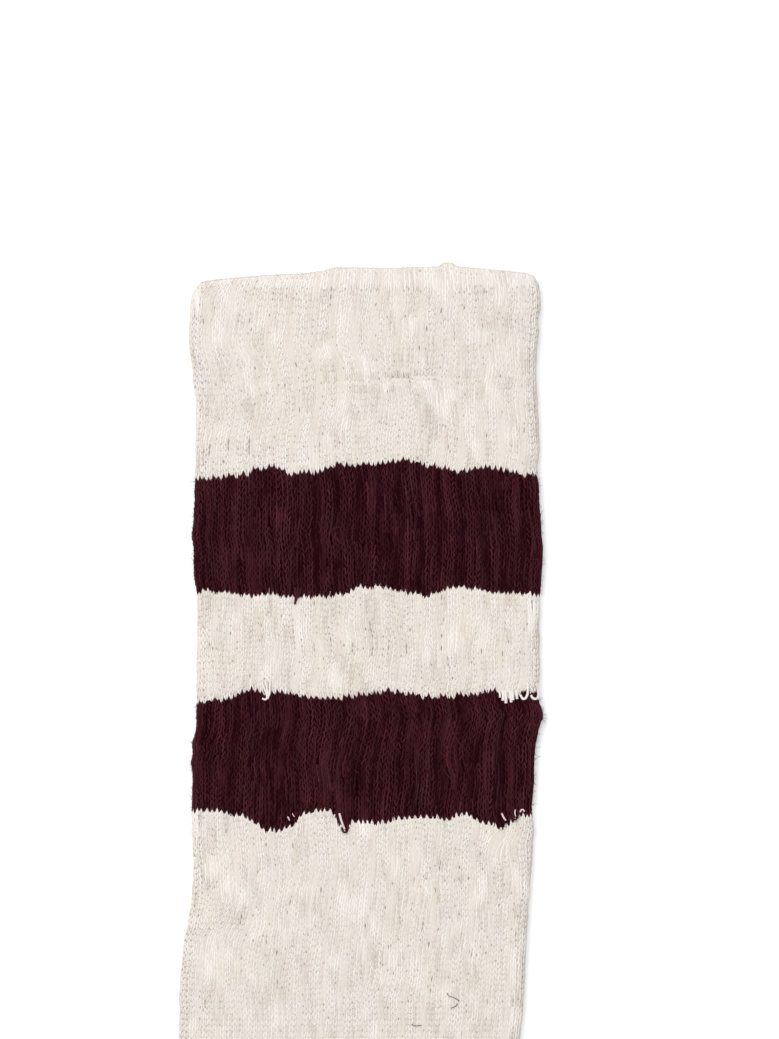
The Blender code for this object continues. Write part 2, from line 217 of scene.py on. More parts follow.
# ---- slubs: patches of thick soft yarn, by middle, reach across and down, and strength ----
Slub = namedtuple("Slub", "x drop reach_x reach_down strength")
SLUBS = rows_of(Slub, (
    (-40, 18, 3, 4, 0.9), (-28, 13, 2.2, 3, 0.8), (-37, 8, 3, 4, 0.7), (-5, 12, 3, 5, 0.8),
    (-6, 36, 1.8, 4, 1), (-10, 22, 4, 2.5, 0.8), (9, 9, 1.8, 4, 1), (13, 15, 2.2, 3, 1),
    (22, 4, 2.5, 4, 1), (32, 18, 3, 2, 1), (39, 21, 2.4, 4.5, 0.9), (5, 31.5, 3, 1.8, 0.8),
    (11, 31.5, 2, 2, 0.9), (17, 31.5, 3, 1.6, 0.8), (22, 37, 1.4, 3, 1), (-1, 26, 2.5, 2.5, 0.9),
    (35, 36, 3, 3, 0.6), (28, 41, 4, 3, 0.6), (-30, 69.5, 2, 3, 0.9), (-7.5, 72, 2.6, 3.5, 0.8),
    (4.5, 66, 1.6, 3, 0.7), (12.5, 70.5, 2, 2.6, 1), (35, 70, 1.4, 3.2, 1), (31.5, 74.5, 2.6, 1.4, 0.7),
    (19, 66, 1.6, 3.4, 0.6), (-34.5, 73, 1.6, 3, 0.6), (-12, 78, 2.2, 3.6, 0.6), (-17.5, 98, 1.4, 6, 1),
    (-25.5, 107, 1.8, 6, 0.9), (24, 102.5, 3, 4.6, 1), (32.5, 98, 2, 2.6, 0.5), (-5, 101.5, 2.6, 4, 0.7),
    (15.5, 101, 2.6, 3, 0.35), (-35, 96, 1.6, 2.6, 0.6), (31, 92.5, 2, 3.2, 0.35),
    (41, 111.5, 3, 2.4, 0.7), (-28.5, 121, 2.6, 2.4, 0.7), (-22.5, 134, 1.8, 3.6, 0.9),
    (-27.5, 145.5, 2, 6.5, 0.8), (-5.2, 134, 2, 4.6, 1), (-6.6, 146, 1.6, 5.5, 0.8),
    (24.6, 127, 1.6, 3, 0.9), (34.5, 133.6, 2.2, 2.6, 1), (23.5, 138.5, 3, 4.4, 0.7),
    (13.5, 131, 1.2, 3, 0.6), (47, 123, 1.6, 3, 0.8), (38, 145, 2.6, 4, 0.5), (14, 163, 2.4, 3.4, 1),
    (17.5, 170, 3, 2, 0.8), (25, 181.5, 2.6, 3.4, 0.9), (29.5, 186, 2, 2.6, 0.9),
    (38.5, 156, 3, 3.4, 0.8), (41.5, 194, 1.6, 7, 0.9), (41.5, 205, 1.8, 4, 0.8),
    (22.5, 199.5, 2.6, 3, 0.9), (14, 190.5, 1.6, 4, 0.7), (-1, 187, 1.6, 4.6, 0.8),
    (33, 178.5, 2.6, 2.4, 0.6), (5.5, 196, 2, 3.6, 0.6), (31.5, 204, 2, 3, 0.6), (-42, 190, 2.5, 5, 0.9),
    (-27, 168, 1.5, 3, 0.4), (-36, 184, 2, 3, 0.5), (-30, 175, 4, 4, 0.3), (-16, 171, 3, 2, 0.8),
    (-22, 181, 2.5, 3, 0.6),
))

# ---- furrows: grooves between wales, sunk, parted and painted darker as shade, by middle, reach across and
# down, lie in degrees, 90 down the leg, and depth ----
Furrow = namedtuple("Furrow", "x drop reach_x reach_down turn depth")
FURROWS = rows_of(Furrow, (
    (-45.1, 75, 0.9, 10, 90, 0.9), (-38, 72, 0.8, 13, 90, 0.5), (-34.4, 79.5, 0.8, 5, 88, 0.7),
    (-17.6, 73, 0.9, 12, 90, 0.6), (-13.1, 78, 0.8, 9, 90, 0.9), (-7.5, 62.4, 0.9, 5, 88, 0.9),
    (-1.9, 62, 0.9, 5, 90, 0.8), (3.6, 65.5, 1, 3.6, 86, 0.9), (8.3, 61.2, 0.9, 2.4, 84, 1.2),
    (9.1, 79, 1, 8, 96, 0.7), (15, 69.2, 2, 2.2, 90, 0.9), (20.2, 71, 1, 14, 90, 0.7),
    (30.5, 66.5, 0.9, 9, 90, 0.9), (35.6, 65, 0.8, 7.5, 86, 1), (34, 77.5, 1.1, 6, 92, 0.8),
    (-7.5, 80, 1, 2, 80, 0.8), (13.6, 85.4, 1, 2.6, 70, 0.7), (-25, 62, 0.7, 6, 90, 0.4),
    (-42.3, 131, 1.2, 13, 90, 1), (-35.7, 124, 1.2, 5.5, 90, 0.9), (-27.6, 129.4, 1.5, 5.2, 52, 1.1),
    (-18, 140, 0.9, 5.6, 90, 0.8), (-7.2, 138, 1.2, 11, 90, 1.1), (-1.9, 137.6, 1.6, 6, 112, 1.3),
    (5.9, 125.6, 0.8, 7, 90, 0.9), (19.5, 133, 1.2, 14, 90, 1), (24.4, 120, 1.4, 2.6, 104, 1.1),
    (38.2, 124.6, 1, 6, 86, 0.8), (43.4, 139.6, 1.6, 3.8, 78, 1), (29.6, 138, 0.9, 8, 84, 0.8),
    (-23, 143, 0.8, 7, 84, 0.8), (9.8, 139, 0.8, 8, 90, 0.6), (-41.8, 8.5, 0.7, 4, 82, 0.8),
    (-44.2, 13, 0.8, 3.6, 96, 0.9), (-35.6, 5.5, 0.6, 4, 92, 0.7), (-34.6, 13, 0.7, 4, 76, 0.8),
    (-37, 19.5, 0.7, 5, 104, 0.6), (-39.6, 29, 1, 5, 84, 0.8), (-33.8, 29, 0.7, 5, 88, 0.6),
    (-29, 31, 0.8, 7, 90, 0.8), (-43.2, 38, 0.8, 6, 76, 0.6), (-30, 42.5, 0.7, 5, 74, 0.6),
    (-19, 30, 0.7, 9, 88, 0.6), (-13.6, 35, 0.7, 9, 86, 0.6), (-9.4, 6, 0.6, 5, 88, 1.1),
    (-20.6, 8, 0.7, 6, 90, 0.5), (-7.2, 28, 0.9, 4, 104, 0.7), (-4.4, 36, 0.8, 5, 78, 0.7),
    (-37.4, 46.5, 0.5, 3, 66, 1), (-32, 49, 0.5, 2.4, 62, 1), (-11, 46.5, 0.6, 3.6, 104, 1),
    (-44.4, 50, 0.6, 4, 92, 0.9), (6.4, 10, 0.6, 7, 88, 0.7), (19.5, 12, 0.7, 6, 94, 0.8),
    (27, 22, 0.7, 6, 86, 0.6), (12, 26, 0.7, 7, 92, 0.6), (36, 12, 0.8, 5, 84, 0.7),
    (2, 22, 0.6, 5, 80, 0.6), (33, 46, 0.8, 5, 94, 0.6), (17, 44, 0.7, 6, 90, 0.6),
    (-38, 101, 0.8, 7, 88, 0.6), (-21.5, 103, 0.7, 6, 94, 0.7), (-10, 100, 0.8, 7, 86, 0.7),
    (9, 104, 0.8, 6, 92, 0.6), (28.5, 103, 0.7, 7, 90, 0.7), (37.5, 100, 0.8, 6, 84, 0.6),
    (-40, 172, 0.8, 8, 90, 0.5), (-24, 190, 0.8, 9, 90, 0.5), (-12, 172, 0.8, 8, 88, 0.6),
    (8.5, 178, 0.8, 12, 90, 0.6), (25.5, 165, 0.7, 5, 96, 0.8), (34.5, 172, 0.7, 6, 88, 0.6),
    (36.5, 158, 0.8, 5, 66, 0.8), (20.5, 188, 0.7, 6, 92, 0.6), (14, 28.7, 0.60, 13, 0, 1.3),
    (-13, 29.4, 0.50, 9, 3, 0.9), (39.5, 30.8, 0.5, 2.6, 52, 1), (23.4, 13, 0.5, 4, 92, 1),
    (26, 12, 0.4, 4, 86, 0.7), (35.8, 16.5, 0.5, 3.6, 88, 1), (39.9, 22.5, 0.5, 2.5, 100, 0.8),
    (7.4, 32, 0.4, 2.4, 90, 1.1), (12.1, 31.5, 0.4, 2, 90, 0.9), (6.8, 10.4, 0.5, 2.4, 105, 1),
    (9.5, 15.5, 0.5, 3, 90, 0.8), (29.8, 22.6, 0.5, 2.4, 110, 0.9), (34.4, 22.6, 0.5, 2.8, 118, 0.9),
))

# ---- slits, where neighbouring wales have parted: middle, length down the leg, opening ----
Slit = namedtuple("Slit", "x drop length opening")
SLITS = rows_of(Slit, (
    (-38.5, 50.8, 1.2, 0.75), (-37.3, 46.6, 4, 0.40), (-31.4, 48.6, 2.6, 0.38), (-43.4, 48.2, 3, 0.40),
    (-26.2, 47.3, 1.1, 0.50), (-29.1, 50.2, 1, 0.40), (-15.2, 50.6, 1, 0.40), (-12.2, 47, 4, 0.30),
    (25.4, 45, 1.4, 0.45), (33.5, 44.8, 1.2, 0.60), (44.1, 43.8, 1.4, 0.50), (40.8, 12, 2, 0.35),
    (11.8, 97.5, 1.4, 0.80), (21, 100.6, 1.2, 0.75), (2.1, 98.6, 4.6, 0.40), (2.8, 103.6, 2.6, 0.40),
    (6.6, 102.4, 5.5, 0.32), (11.2, 103.4, 3.4, 0.36), (21.9, 103.6, 1.4, 0.45),
    (23.2, 106.8, 2.6, 0.40), (18.3, 107.8, 1.2, 0.45), (32.5, 104, 1.6, 0.60), (29.9, 107, 1.1, 0.40),
    (37.8, 103.8, 1.2, 0.45), (40.2, 100.9, 1, 0.42), (-41.5, 102.8, 1.8, 0.60),
    (-41.8, 107.5, 3.4, 0.32), (-3.1, 103.6, 3, 0.55), (-6.4, 102.2, 2.4, 0.34), (-9.5, 100.5, 11, 0.30),
    (-14.3, 103.6, 4.2, 0.36), (-19.4, 98.5, 13, 0.32), (-36.6, 107, 1.6, 0.42), (-27.8, 109, 1.6, 0.34),
    (43.7, 116.2, 1.6, 0.95), (46.6, 116.2, 1.4, 0.90), (10.8, 162.4, 3.8, 0.28),
    (18.5, 164.8, 1.5, 0.45), (16.9, 166.5, 1.2, 0.50), (21.3, 164, 3, 0.45), (22.3, 166.8, 2.2, 0.45),
    (26.1, 163.8, 2, 0.65), (32.3, 164.2, 1.3, 0.50), (28, 166.3, 1.6, 0.60), (42, 177.2, 2.4, 0.55),
    (42.3, 182, 4, 0.32), (42.1, 185.6, 1.8, 0.30), (-2.2, 177, 2, 0.60), (-1.7, 192, 7, 0.30),
    (31, 184.4, 3, 0.28), (34.3, 183, 1.8, 0.32), (32.6, 185.8, 2, 0.34), (34.3, 187.4, 1.8, 0.68),
    (37.6, 186, 1.4, 0.50), (24.1, 194.6, 2.4, 0.45), (26, 195.6, 2, 0.32), (14.2, 192.2, 2, 0.27),
    (16, 196.6, 1.8, 0.30), (27.4, 182.4, 1.8, 0.30), (20.4, 192.6, 1.8, 0.28), (20.4, 201.6, 2.8, 0.30),
    (42.2, 200.9, 1.4, 0.60), (-3, 201.5, 1.6, 0.45), (9.2, 184.3, 1.4, 0.45), (18.2, 184.5, 1, 0.85),
    (28.8, 187.5, 1, 0.45), (7.8, 193, 1.4, 0.45), (-20.5, 186, 2.4, 0.36), (-33.5, 178, 3.4, 0.36),
    (-38, 172.5, 1.6, 0.42), (-24, 196, 3, 0.36), (-14.5, 181, 2.2, 0.40), (36.7, 27.6, 1.6, 0.60),
    (11.9, 10.6, 1, 0.55), (15.4, 19.8, 1.2, 0.50), (14.3, 33.2, 1, 0.45), (27.4, 33.4, 1, 0.45),
    (31.9, 14.7, 1, 0.35), (8.2, 167.3, 1.1, 0.55), (5.3, 166, 1, 0.42), (13.1, 166.2, 1, 0.42),
    (18.8, 168.7, 1.2, 0.60), (25.7, 167.3, 1.1, 0.42), (40.4, 171, 1, 0.40), (37.6, 168.3, 1, 0.38),
    (23.7, 177.9, 1, 0.48), (26.6, 177.4, 1.4, 0.55), (15.6, 179.7, 1, 0.55), (15.4, 181.2, 1, 0.42),
    (16, 184.4, 1, 0.42), (9.4, 179.5, 1, 0.40), (4.6, 184.4, 1, 0.42), (19.6, 181, 1.1, 0.45),
    (36.3, 189.7, 1, 0.40), (5.6, 190, 1, 0.40), (9, 189.9, 1, 0.38), (18.6, 193.8, 1, 0.42),
    (18.8, 198.2, 1.4, 0.42), (12.7, 199.3, 1, 0.48), (8.6, 197.8, 1, 0.38), (5.6, 202.6, 1, 0.40),
    (8.6, 205.4, 1, 0.40), (-10.4, 205, 1.6, 0.40), (-44.4, 201, 4, 0.34), (-2, 141.5, 5, 0.60),
    (-9.2, 73.8, 3, 0.45), (13.6, 66.5, 3.4, 0.45), (-31.8, 69.4, 3, 0.45), (-26.8, 69, 2.6, 0.50),
    (36, 64.6, 3, 0.45), (27.4, 136, 4, 0.40),
))

# ---- loose loops of yarn at the stripes' borders: places across, down the leg and out of it ----
Snag = namedtuple("Snag", "name yarn thickness places")
SNAGS = rows_of(Snag, (
    ("tongue_front", "cream", 0.27, ((-28.4, 113.4, 0), (-27.7, 115.2, 0.3), (-27, 117, 0.5),
        (-27.3, 118.1, 0.5), (-28.3, 117.9, 0.3))),
    ("tongue_middle", "cream", 0.29, ((-27.4, 113, 0), (-27, 115.2, 0.3), (-26.7, 116.6, 0.4),
        (-26.6, 117.4, 0.3))),
    ("tongue_back", "cream", 0.27, ((-26.1, 112.8, 0), (-26.2, 114.8, 0.3), (-26.4, 116.8, 0.4),
        (-26.9, 118, 0.4))),
    ("edge_loop_inner", "cream", 0.34, ((44.9, 113.4, 0), (44.9, 115.6, 0.4), (44.7, 117.1, 0.6),
        (43.9, 118, 0.6), (43.3, 117.6, 0.4), (43, 116.9, 0.1))),
    ("edge_loop_outer", "cream", 0.34, ((47.3, 113.8, 0), (47.5, 115.8, 0.4), (47.4, 117.2, 0.5),
        (46.8, 118, 0.5), (46.2, 117.8, 0.4), (45.8, 117, 0.1))),
    ("fringe_a", "cream", 0.30, ((37, 115.8, -0.3), (37.3, 116.9, 0.2), (37.6, 117.9, 0.1))),
    ("fringe_b", "cream", 0.42, ((38, 115.6, -0.4), (38.2, 117.2, 0.2), (38.4, 118.7, 0.1))),
    ("fringe_c", "cream", 0.42, ((38.7, 115.6, -0.4), (38.9, 117.4, 0.2), (39, 119.2, 0))),
    ("fringe_d", "cream", 0.42, ((39.9, 115.6, -0.4), (40.2, 117.2, 0.2), (40.4, 118.9, 0))),
    ("fringe_e", "cream", 0.40, ((40.7, 115.8, -0.4), (40.8, 117, 0.2), (40.9, 118.3, 0.1))),
    ("fringe_f", "cream", 0.38, ((41.8, 115.8, -0.4), (41.9, 116.9, 0.2), (42, 118, 0.1))),
    ("pulled_tick", "stained", 0.30, ((-7, 149.6, 0), (-6.7, 150.8, 0.4), (-6.2, 152.4, 0.5),
        (-5.6, 153.9, 0.2))),
    ("tick_first_dip", "stained", 0.17, ((-21.3, 150.5, 0), (-21, 151, 0.3), (-20.8, 151.5, 0.1))),
    ("tick_first_dip_side", "stained", 0.12, ((-20, 149.6, 0), (-19.7, 150.1, 0.4),
        (-19.4, 150.5, 0.1))),
    ("tick_last_dip", "stained", 0.24, ((37.8, 149.6, 0), (38.2, 150.5, 0.5), (38.9, 151.5, 0.1))),
    ("ring_burgundy", "burgundy", 0.22, ((40.8, 148.4, 0), (40.7, 150.2, 0.4), (41.4, 151.3, 0.5),
        (42.2, 150.4, 0.4), (42.3, 148.8, 0))),
    ("bar_in_ring", "stained", 0.18, ((41.5, 148.6, 0), (41.4, 149.5, 0.4), (41.6, 150.4, 0.1))),
    ("arch_by_ring", "stained", 0.22, ((42.8, 149.2, 0), (43.4, 148.5, 0.4), (44, 149, 0.1))),
    ("drip_long", "burgundy", 0.28, ((-19.3, 87.2, 0), (-19.1, 89.4, 0.3), (-19.3, 91.9, 0.1))),
    ("drip_middle", "burgundy", 0.30, ((-18.5, 87.2, 0), (-18.6, 89.2, 0.3), (-19, 90.9, 0.1))),
    ("drip_short", "burgundy", 0.26, ((-17.7, 87.4, 0), (-17.9, 88.8, 0.3), (-18.3, 90.1, 0.1))),
    ("loose_bow", "burgundy", 0.13, ((-10.3, 79, 0.1), (-9.9, 75, 0.5), (-9.4, 72, 0.6),
        (-7.2, 70.6, 0.6), (-6.2, 73, 0.5), (-5.2, 76.6, 0.3), (-4.2, 78.4, 0))),
    ("loose_bar_high", "burgundy", 0.15, ((20.8, 132.6, 0), (22.4, 134, 0.5), (24.4, 136.6, 0.1))),
    ("loose_bar_low", "burgundy", 0.15, ((21.4, 137.4, 0), (23.2, 139.4, 0.5), (25.2, 142.2, 0.1))),
    ("loose_bar_top", "burgundy", 0.15, ((23.6, 124.6, 0), (24.8, 128, 0.5), (27, 131.6, 0.1))),
    ("edge_knot", "burgundy", 0.30, ((46.8, 119.4, 0), (48, 121, 0.2), (48.2, 123.4, 0.3),
        (47.2, 125.4, 0.2), (46.4, 123.6, 0))),
    ("drop_hook", "burgundy", 0.26, ((-6.3, 153.4, 0), (-6.2, 154.3, 0.3), (-5.6, 154.8, 0.4),
        (-4.9, 154.4, 0.3), (-4.5, 153.2, 0.1))),
))

# ---- stray dark hairs lying on the lower leg ----
Hair = namedtuple("Hair", "name places")
HAIRS = (
    Hair("bent_hair_long", ((22.7, 199.1, 0.1), (23.0, 199.8, 0.4), (24.6, 200.4, 0.5), (26.1, 201.3, 0.1))),
    Hair("bent_hair_short", ((25.6, 202.0, 0.1), (25.1, 202.7, 0.3), (23.9, 203.3, 0.1))),
    Hair("short_hair", ((12.9, 207.6, 0.1), (13.3, 208.1, 0.3), (14.4, 208.2, 0.3), (15.6, 208.1, 0.1))),
)


# =============================================================== the sock's lay
def foot_directions():
    """Unit vectors along the foot, towards the toe, and across it, from sole to instep."""
    turn = math.radians(FOOT_TURN)
    return np.array((-math.cos(turn), -math.sin(turn))), np.array((-math.sin(turn), math.cos(turn)))


def unit(vectors):
    """The same directions, each one long."""
    return vectors / np.linalg.norm(vectors, axis=-1, keepdims=True)


def rounding(distance, reach):
    """Share of the full thickness that laid cloth has at a distance in from its folded edge."""
    inward = np.clip(distance / reach, 0.0, 1.0)
    return np.sqrt(1 - (1 - inward) ** 2)


def section_rows():
    """Every section as one row: front x y, back x y, bow, wall, gap."""
    rows = [row[1:] for row in LEG_SECTIONS]
    along, across = foot_directions()
    for row in FOOT_SECTIONS:
        sole = np.array(HEEL_BASE) + along * row.along
        front, back = sole + across * (FOOT_WIDTH + row.instep), sole - across * row.sole
        rows.append((*front, *back, 0.0, row.wall, row.gap))
    return np.array(rows)


def lay_out_rings(parts_per_row=12):
    """Closely spaced rings: how far down the sock each lies, then its row and its swell at the toe."""
    rows = section_rows()
    rings = []
    for index in range(len(rows) - 1):
        before, start, end = rows[max(index - 1, 0)], rows[index], rows[index + 1]
        after = rows[min(index + 2, len(rows) - 1)]
        for share in np.arange(parts_per_row) / parts_per_row:
            square, cube = share ** 2, share ** 3
            start_pull, end_pull = (end - before) / 2, (after - start) / 2
            rings.append(start * (2 * cube - 3 * square + 1) + start_pull * (cube - 2 * square + share)
                         + end * (3 * square - 2 * cube) + end_pull * (cube - square))
    rings.append(rows[-1])
    swells = [1.0] * len(rings)
    along, across = foot_directions()
    front, back = rows[-1][0:2], rows[-1][2:4]
    half_width = np.linalg.norm(front - back) / 2
    for angle in np.radians(np.arange(2, 90, 2)):
        centre = (front + back) / 2 + along * TOE_REACH * math.sin(angle)
        half = across * half_width * math.cos(angle) ** TOE_BLUNTNESS
        rings.append(np.array((*(centre + half), *(centre - half), *rows[-1][4:])))
        swells.append(float(rounding(TOE_REACH * (1 - math.sin(angle)), FOLD_REACH)))
    rings = np.array(rings)
    step = (np.linalg.norm(np.diff(rings[:, 0:2], axis=0), axis=1)
            + np.linalg.norm(np.diff(rings[:, 2:4], axis=0), axis=1)) / 2
    start = -(rings[0, 1] + rings[0, 3]) / 2
    drops = start + np.concatenate(((0.0,), np.cumsum(step)))
    return drops, rings, np.array(swells)


DROPS, RINGS, SWELLS = lay_out_rings()
SOCK_LENGTH = float(DROPS[-1])
FRONT_X, BACK_X, BOW, WALL = 0, 2, 4, 5     # columns of RINGS


def soft_noise(x, y, reach_x, reach_y, seed, waves=36):
    """Smooth random field of about unit size, whose bumps are about reach_x by reach_y."""
    draw = np.random.default_rng(seed)
    turns_x = draw.normal(0, 1 / reach_x, waves)
    turns_y = draw.normal(0, 1 / reach_y, waves)
    starts = draw.uniform(0, 2 * math.pi, waves)
    total = np.zeros(np.broadcast(x, y).shape)
    for turn_x, turn_y, start in zip(turns_x, turns_y, starts):
        total += np.cos(turn_x * x + turn_y * y + start)
    return total * math.sqrt(2 / waves)


def own_side(x, upper):
    """Shifts the under layer's places, so that it gets its own stretch of every random field."""
    return x + np.where(upper, 0.0, UNDER_SHIFT)


def spot(mark, x, drop):
    """From 1 in the middle of a mark to nothing past its reach."""
    return np.exp(-((x - mark.x) / mark.reach_x) ** 2 - ((drop - mark.drop) / mark.reach_down) ** 2)


def lie_of(mark, x, drop):
    """Distances from the middle of a fold or furrow, along its lie and square to it."""
    turn = math.radians(mark.turn)
    dx, dy = x - mark.x, mark.drop - drop
    return dx * math.cos(turn) + dy * math.sin(turn), dy * math.cos(turn) - dx * math.sin(turn)


def read_waves(x, points):
    """Values of a short table of places across the leg, with straight lines between them."""
    places, values = zip(*points)
    return np.interp(x, places, values)


def rib_field(x, drop):
    """From about -1 in a hollow between ribs to 1 along a rib's crown. Ribs run down the leg, unevenly."""
    return np.tanh(soft_noise(x, drop, 1.1, 22.0, 11) * 0.9 + soft_noise(x, drop, 3.2, 14.0, 14) * 0.2)


def relief(x, drop, coarse):
    """Height that folds, puckers and ribs add to the upper layer."""
    total = np.zeros(np.shape(x))
    for fold in FOLDS:
        lengthwise, sideways = lie_of(fold, x, drop)
        past = (lengthwise / fold.length) ** 2 + (sideways / fold.width) ** 2
        total += fold.rise * np.exp(-FOLD_FALL * past)
    ribs = rib_field(x, drop) * 0.06 * coarse
    puckers = soft_noise(x, drop, 3.6, 5.0, 12) * 0.05 * coarse
    slack = soft_noise(x, drop, 14.0, 11.0, 13) * 0.07
    return np.clip(total + ribs + puckers + slack, -0.5, None)


def edge_shift(edge, drop):
    """How far a laid edge bulges out of its even line at each drop."""
    total = np.zeros(np.shape(drop))
    for bump in EDGE_BUMPS:
        if bump.edge == edge:
            total = total + bump.rise * np.exp(-((drop - bump.drop) / bump.reach) ** 2)
    seed = {"front": 51, "back": 52}[edge]
    return total + soft_noise(drop, np.zeros_like(drop), 1.4, 1.0, seed) * 0.10


def ring_values(drop):
    """The section at each drop, column by column, with its swell."""
    front_x, front_y, back_x, back_y, bow, wall, gap = (
        np.interp(drop, DROPS, RINGS[:, column]) for column in range(RINGS.shape[1]))
    loose = np.clip((COARSE_END + 10 - drop) / 20, 0, 1)
    front_x = front_x - edge_shift("front", drop) * loose
    back_x = back_x + edge_shift("back", drop) * loose
    return (front_x, front_y, back_x, back_y, bow, wall, gap), np.interp(drop, DROPS, SWELLS)


def share_across(wale):
    """Share of the way from the front edge to the back one, and whether that is on the upper layer."""
    share_round = np.mod(wale / WALES, 1.0)
    upper = share_round < 0.5
    return np.where(upper, share_round * 2, 2 - share_round * 2), upper


def on_skin(wale, drop, out):
    """Places in plan and height, in millimetres, and the ways out of the cloth and up the leg there.

    wale counts columns of stitches from the front edge over the top and back underneath, drop is the
    distance down the sock, and out is the distance out of the solid's surface.
    """
    (fx, fy, bx, by, bow, wall, gap), swell = ring_values(drop)
    share, upper = share_across(wale)
    side = np.where(upper, 1.0, -1.0)
    width = np.hypot(bx - fx, by - fy)
    middle = wall + gap / 2
    reach = np.minimum(FOLD_REACH, width * 0.4)
    quarter = math.pi / 2 * np.sqrt((reach ** 2 + middle ** 2) / 2)
    half_round = width - 2 * reach + 2 * quarter
    gone = share * half_round
    front_turn = np.clip(gone / quarter, 0, 1) * math.pi / 2
    back_turn = np.clip((half_round - gone) / quarter, 0, 1) * math.pi / 2
    distance = np.where(gone < quarter, reach * (1 - np.cos(front_turn)),
                        np.where(half_round - gone < quarter, width - reach * (1 - np.cos(back_turn)),
                                 reach + gone - quarter))
    rise = np.sin(front_turn) * np.sin(back_turn)
    sideways = np.cos(back_turn) - np.cos(front_turn)
    across = np.stack(((bx - fx) / width, (by - fy) / width), axis=-1)
    up_leg = np.stack((-across[..., 1], across[..., 0]), axis=-1)
    along_share = np.clip(distance / width, 0, 1)
    lift = bow * 4 * along_share * (1 - along_share)
    plan_x = fx + across[..., 0] * distance + up_leg[..., 0] * lift
    rim_lift = read_waves(plan_x, RIM_WAVES) * np.exp(-(drop - DROPS[0]) / RIM_WAVE_DEPTH)
    rim_lift = rim_lift * np.where(upper, 1.0, 0.6)
    plan_y = fy + across[..., 1] * distance + up_leg[..., 1] * lift + rim_lift
    coarse = np.clip((COARSE_END + 6 - drop) / 10, 0, 1)
    fade = np.sqrt(np.clip(np.sin(math.pi * along_share), 0, 1)) * upper * swell
    height = middle + side * middle * rise * swell + relief(plan_x, -plan_y, coarse) * fade * rise
    outward = unit(np.stack((across[..., 0] * sideways, across[..., 1] * sideways, side * rise), axis=-1))
    place = np.stack((plan_x, plan_y, height), axis=-1)
    return place + outward * (out * np.ones_like(width))[..., None], outward, up_leg


def on_sock(wale, drop, out=0.0):
    """As on_skin, but a drop above RIM_START turns over the rim and goes on down inside."""
    wale, drop, out = np.broadcast_arrays(wale, drop, out)
    wale, drop, out = (np.array(values, dtype=float) for values in (wale, drop, out))
    radius = np.interp(drop, DROPS, RINGS[:, WALL]) / 2
    over = np.maximum(RIM_START - drop, 0.0)
    turned = over > math.pi * radius
    inside_drop = RIM_START + over - math.pi * radius
    level = np.where(turned, inside_drop, np.maximum(drop, RIM_START))
    depth = np.where(turned, -2 * radius - out, np.where(over > 0, -radius, out))
    place, outward, up_leg = on_skin(wale, level, depth)
    turn = np.clip(over / radius, 0, math.pi)
    upward = np.concatenate((up_leg, np.zeros(up_leg.shape[:-1] + (1,))), axis=-1)
    rolled = outward * np.cos(turn)[..., None] + upward * np.sin(turn)[..., None]
    rolling = (over > 0) & ~turned
    place = np.where(rolling[..., None], place + rolled * (radius + out)[..., None], place)
    facing = np.where(rolling[..., None], rolled, np.where(turned[..., None], -outward, outward))
    return place, facing


def across_leg(wale, drop):
    """How far across the leg a wale lies, from the cuff's middle, and whether it is on the upper layer."""
    share, upper = share_across(wale)
    front, back = (np.interp(drop, DROPS, RINGS[:, column]) for column in (FRONT_X, BACK_X))
    return front + share * (back - front), upper


def warp(wale, drop):
    """Where a stitch of the even grid really lies once the cloth has wandered."""
    x, upper = across_leg(wale, drop)
    own_x = own_side(x, upper)
    levels = [0.0] + list(BORDER_WAVES) + [COARSE_END]
    waves = [np.zeros(np.shape(x))]
    for level, points in BORDER_WAVES.items():
        shown = read_waves(x, points) - level
        hidden = soft_noise(x, np.zeros_like(x), 7.0, 1.0, int(level)) * 1.2
        waves.append(np.where(upper, shown, hidden))
    waves.append(np.zeros(np.shape(x)))
    sunk = np.zeros(np.shape(x))
    for index in range(len(levels) - 1):
        share = (drop - levels[index]) / (levels[index + 1] - levels[index])
        here = (share >= 0) & (share < 1)
        sunk = np.where(here, waves[index] * (1 - share) + waves[index + 1] * share, sunk)
    loose = np.clip((COARSE_END - drop) / 12, 0, 1) * np.clip(drop / 6, 0, 1)
    push = soft_noise(own_x, drop, 6.0, 6.0, 21) * 0.22 + soft_noise(own_x, drop, 0.9, 9.0, 22) * 0.15
    for lean in LEANS:
        slant = np.where(upper, math.tan(math.radians(lean.slant)), 0)
        push = push - slant * (drop - lean.drop) * spot(lean, x, drop)
    edge = np.clip((LEG_EDGE - np.abs(x)) / 5, 0, 1)
    push = push * loose * edge * np.where(upper, 1, -1)
    sunk = sunk + loose * (soft_noise(own_x, drop, 3.0, 4.0, 23) * 0.14
                           + soft_noise(own_x, drop, 0.8, 9.0, 24) * 0.30)
    return wale + push / WALE_WIDTH, drop + sunk


def on_knit(wale, drop, out=0.0):
    """As on_sock, for a wale and drop of the even grid, where that stitch really lies."""
    return on_sock(*warp(wale, drop), out)


def find_stitch(x, drop):
    """The even grid's wale and level whose stitch lies at a place on the upper layer."""
    x, drop = np.asarray(x, dtype=float), np.asarray(drop, dtype=float)
    wale, level = (x + HALF_LEG) / WALE_WIDTH, drop.copy()
    for _ in range(10):
        place, _ = on_knit(wale, level)
        wale = np.clip(wale + (x - place[..., 0]) / WALE_WIDTH, 0.5, WALES / 2 - 0.5)
        level = level + (drop + place[..., 1])
    return wale, level


def slub_strength(x, drop, upper):
    """From 0, plain knit, to 1, the middle of a slub."""
    total = np.zeros(np.shape(x))
    for slub in SLUBS:
        total += np.where(upper, slub.strength, 0) * spot(slub, x, drop)
    scattered = soft_noise(own_side(x, upper), drop, 1.6, 3.2, 31)
    rubbed = np.clip((4.6 - drop) / 1.5, 0, 0.9)
    return np.clip(total + rubbed + np.clip(scattered - 1.0, 0, 0.8), 0, 1)


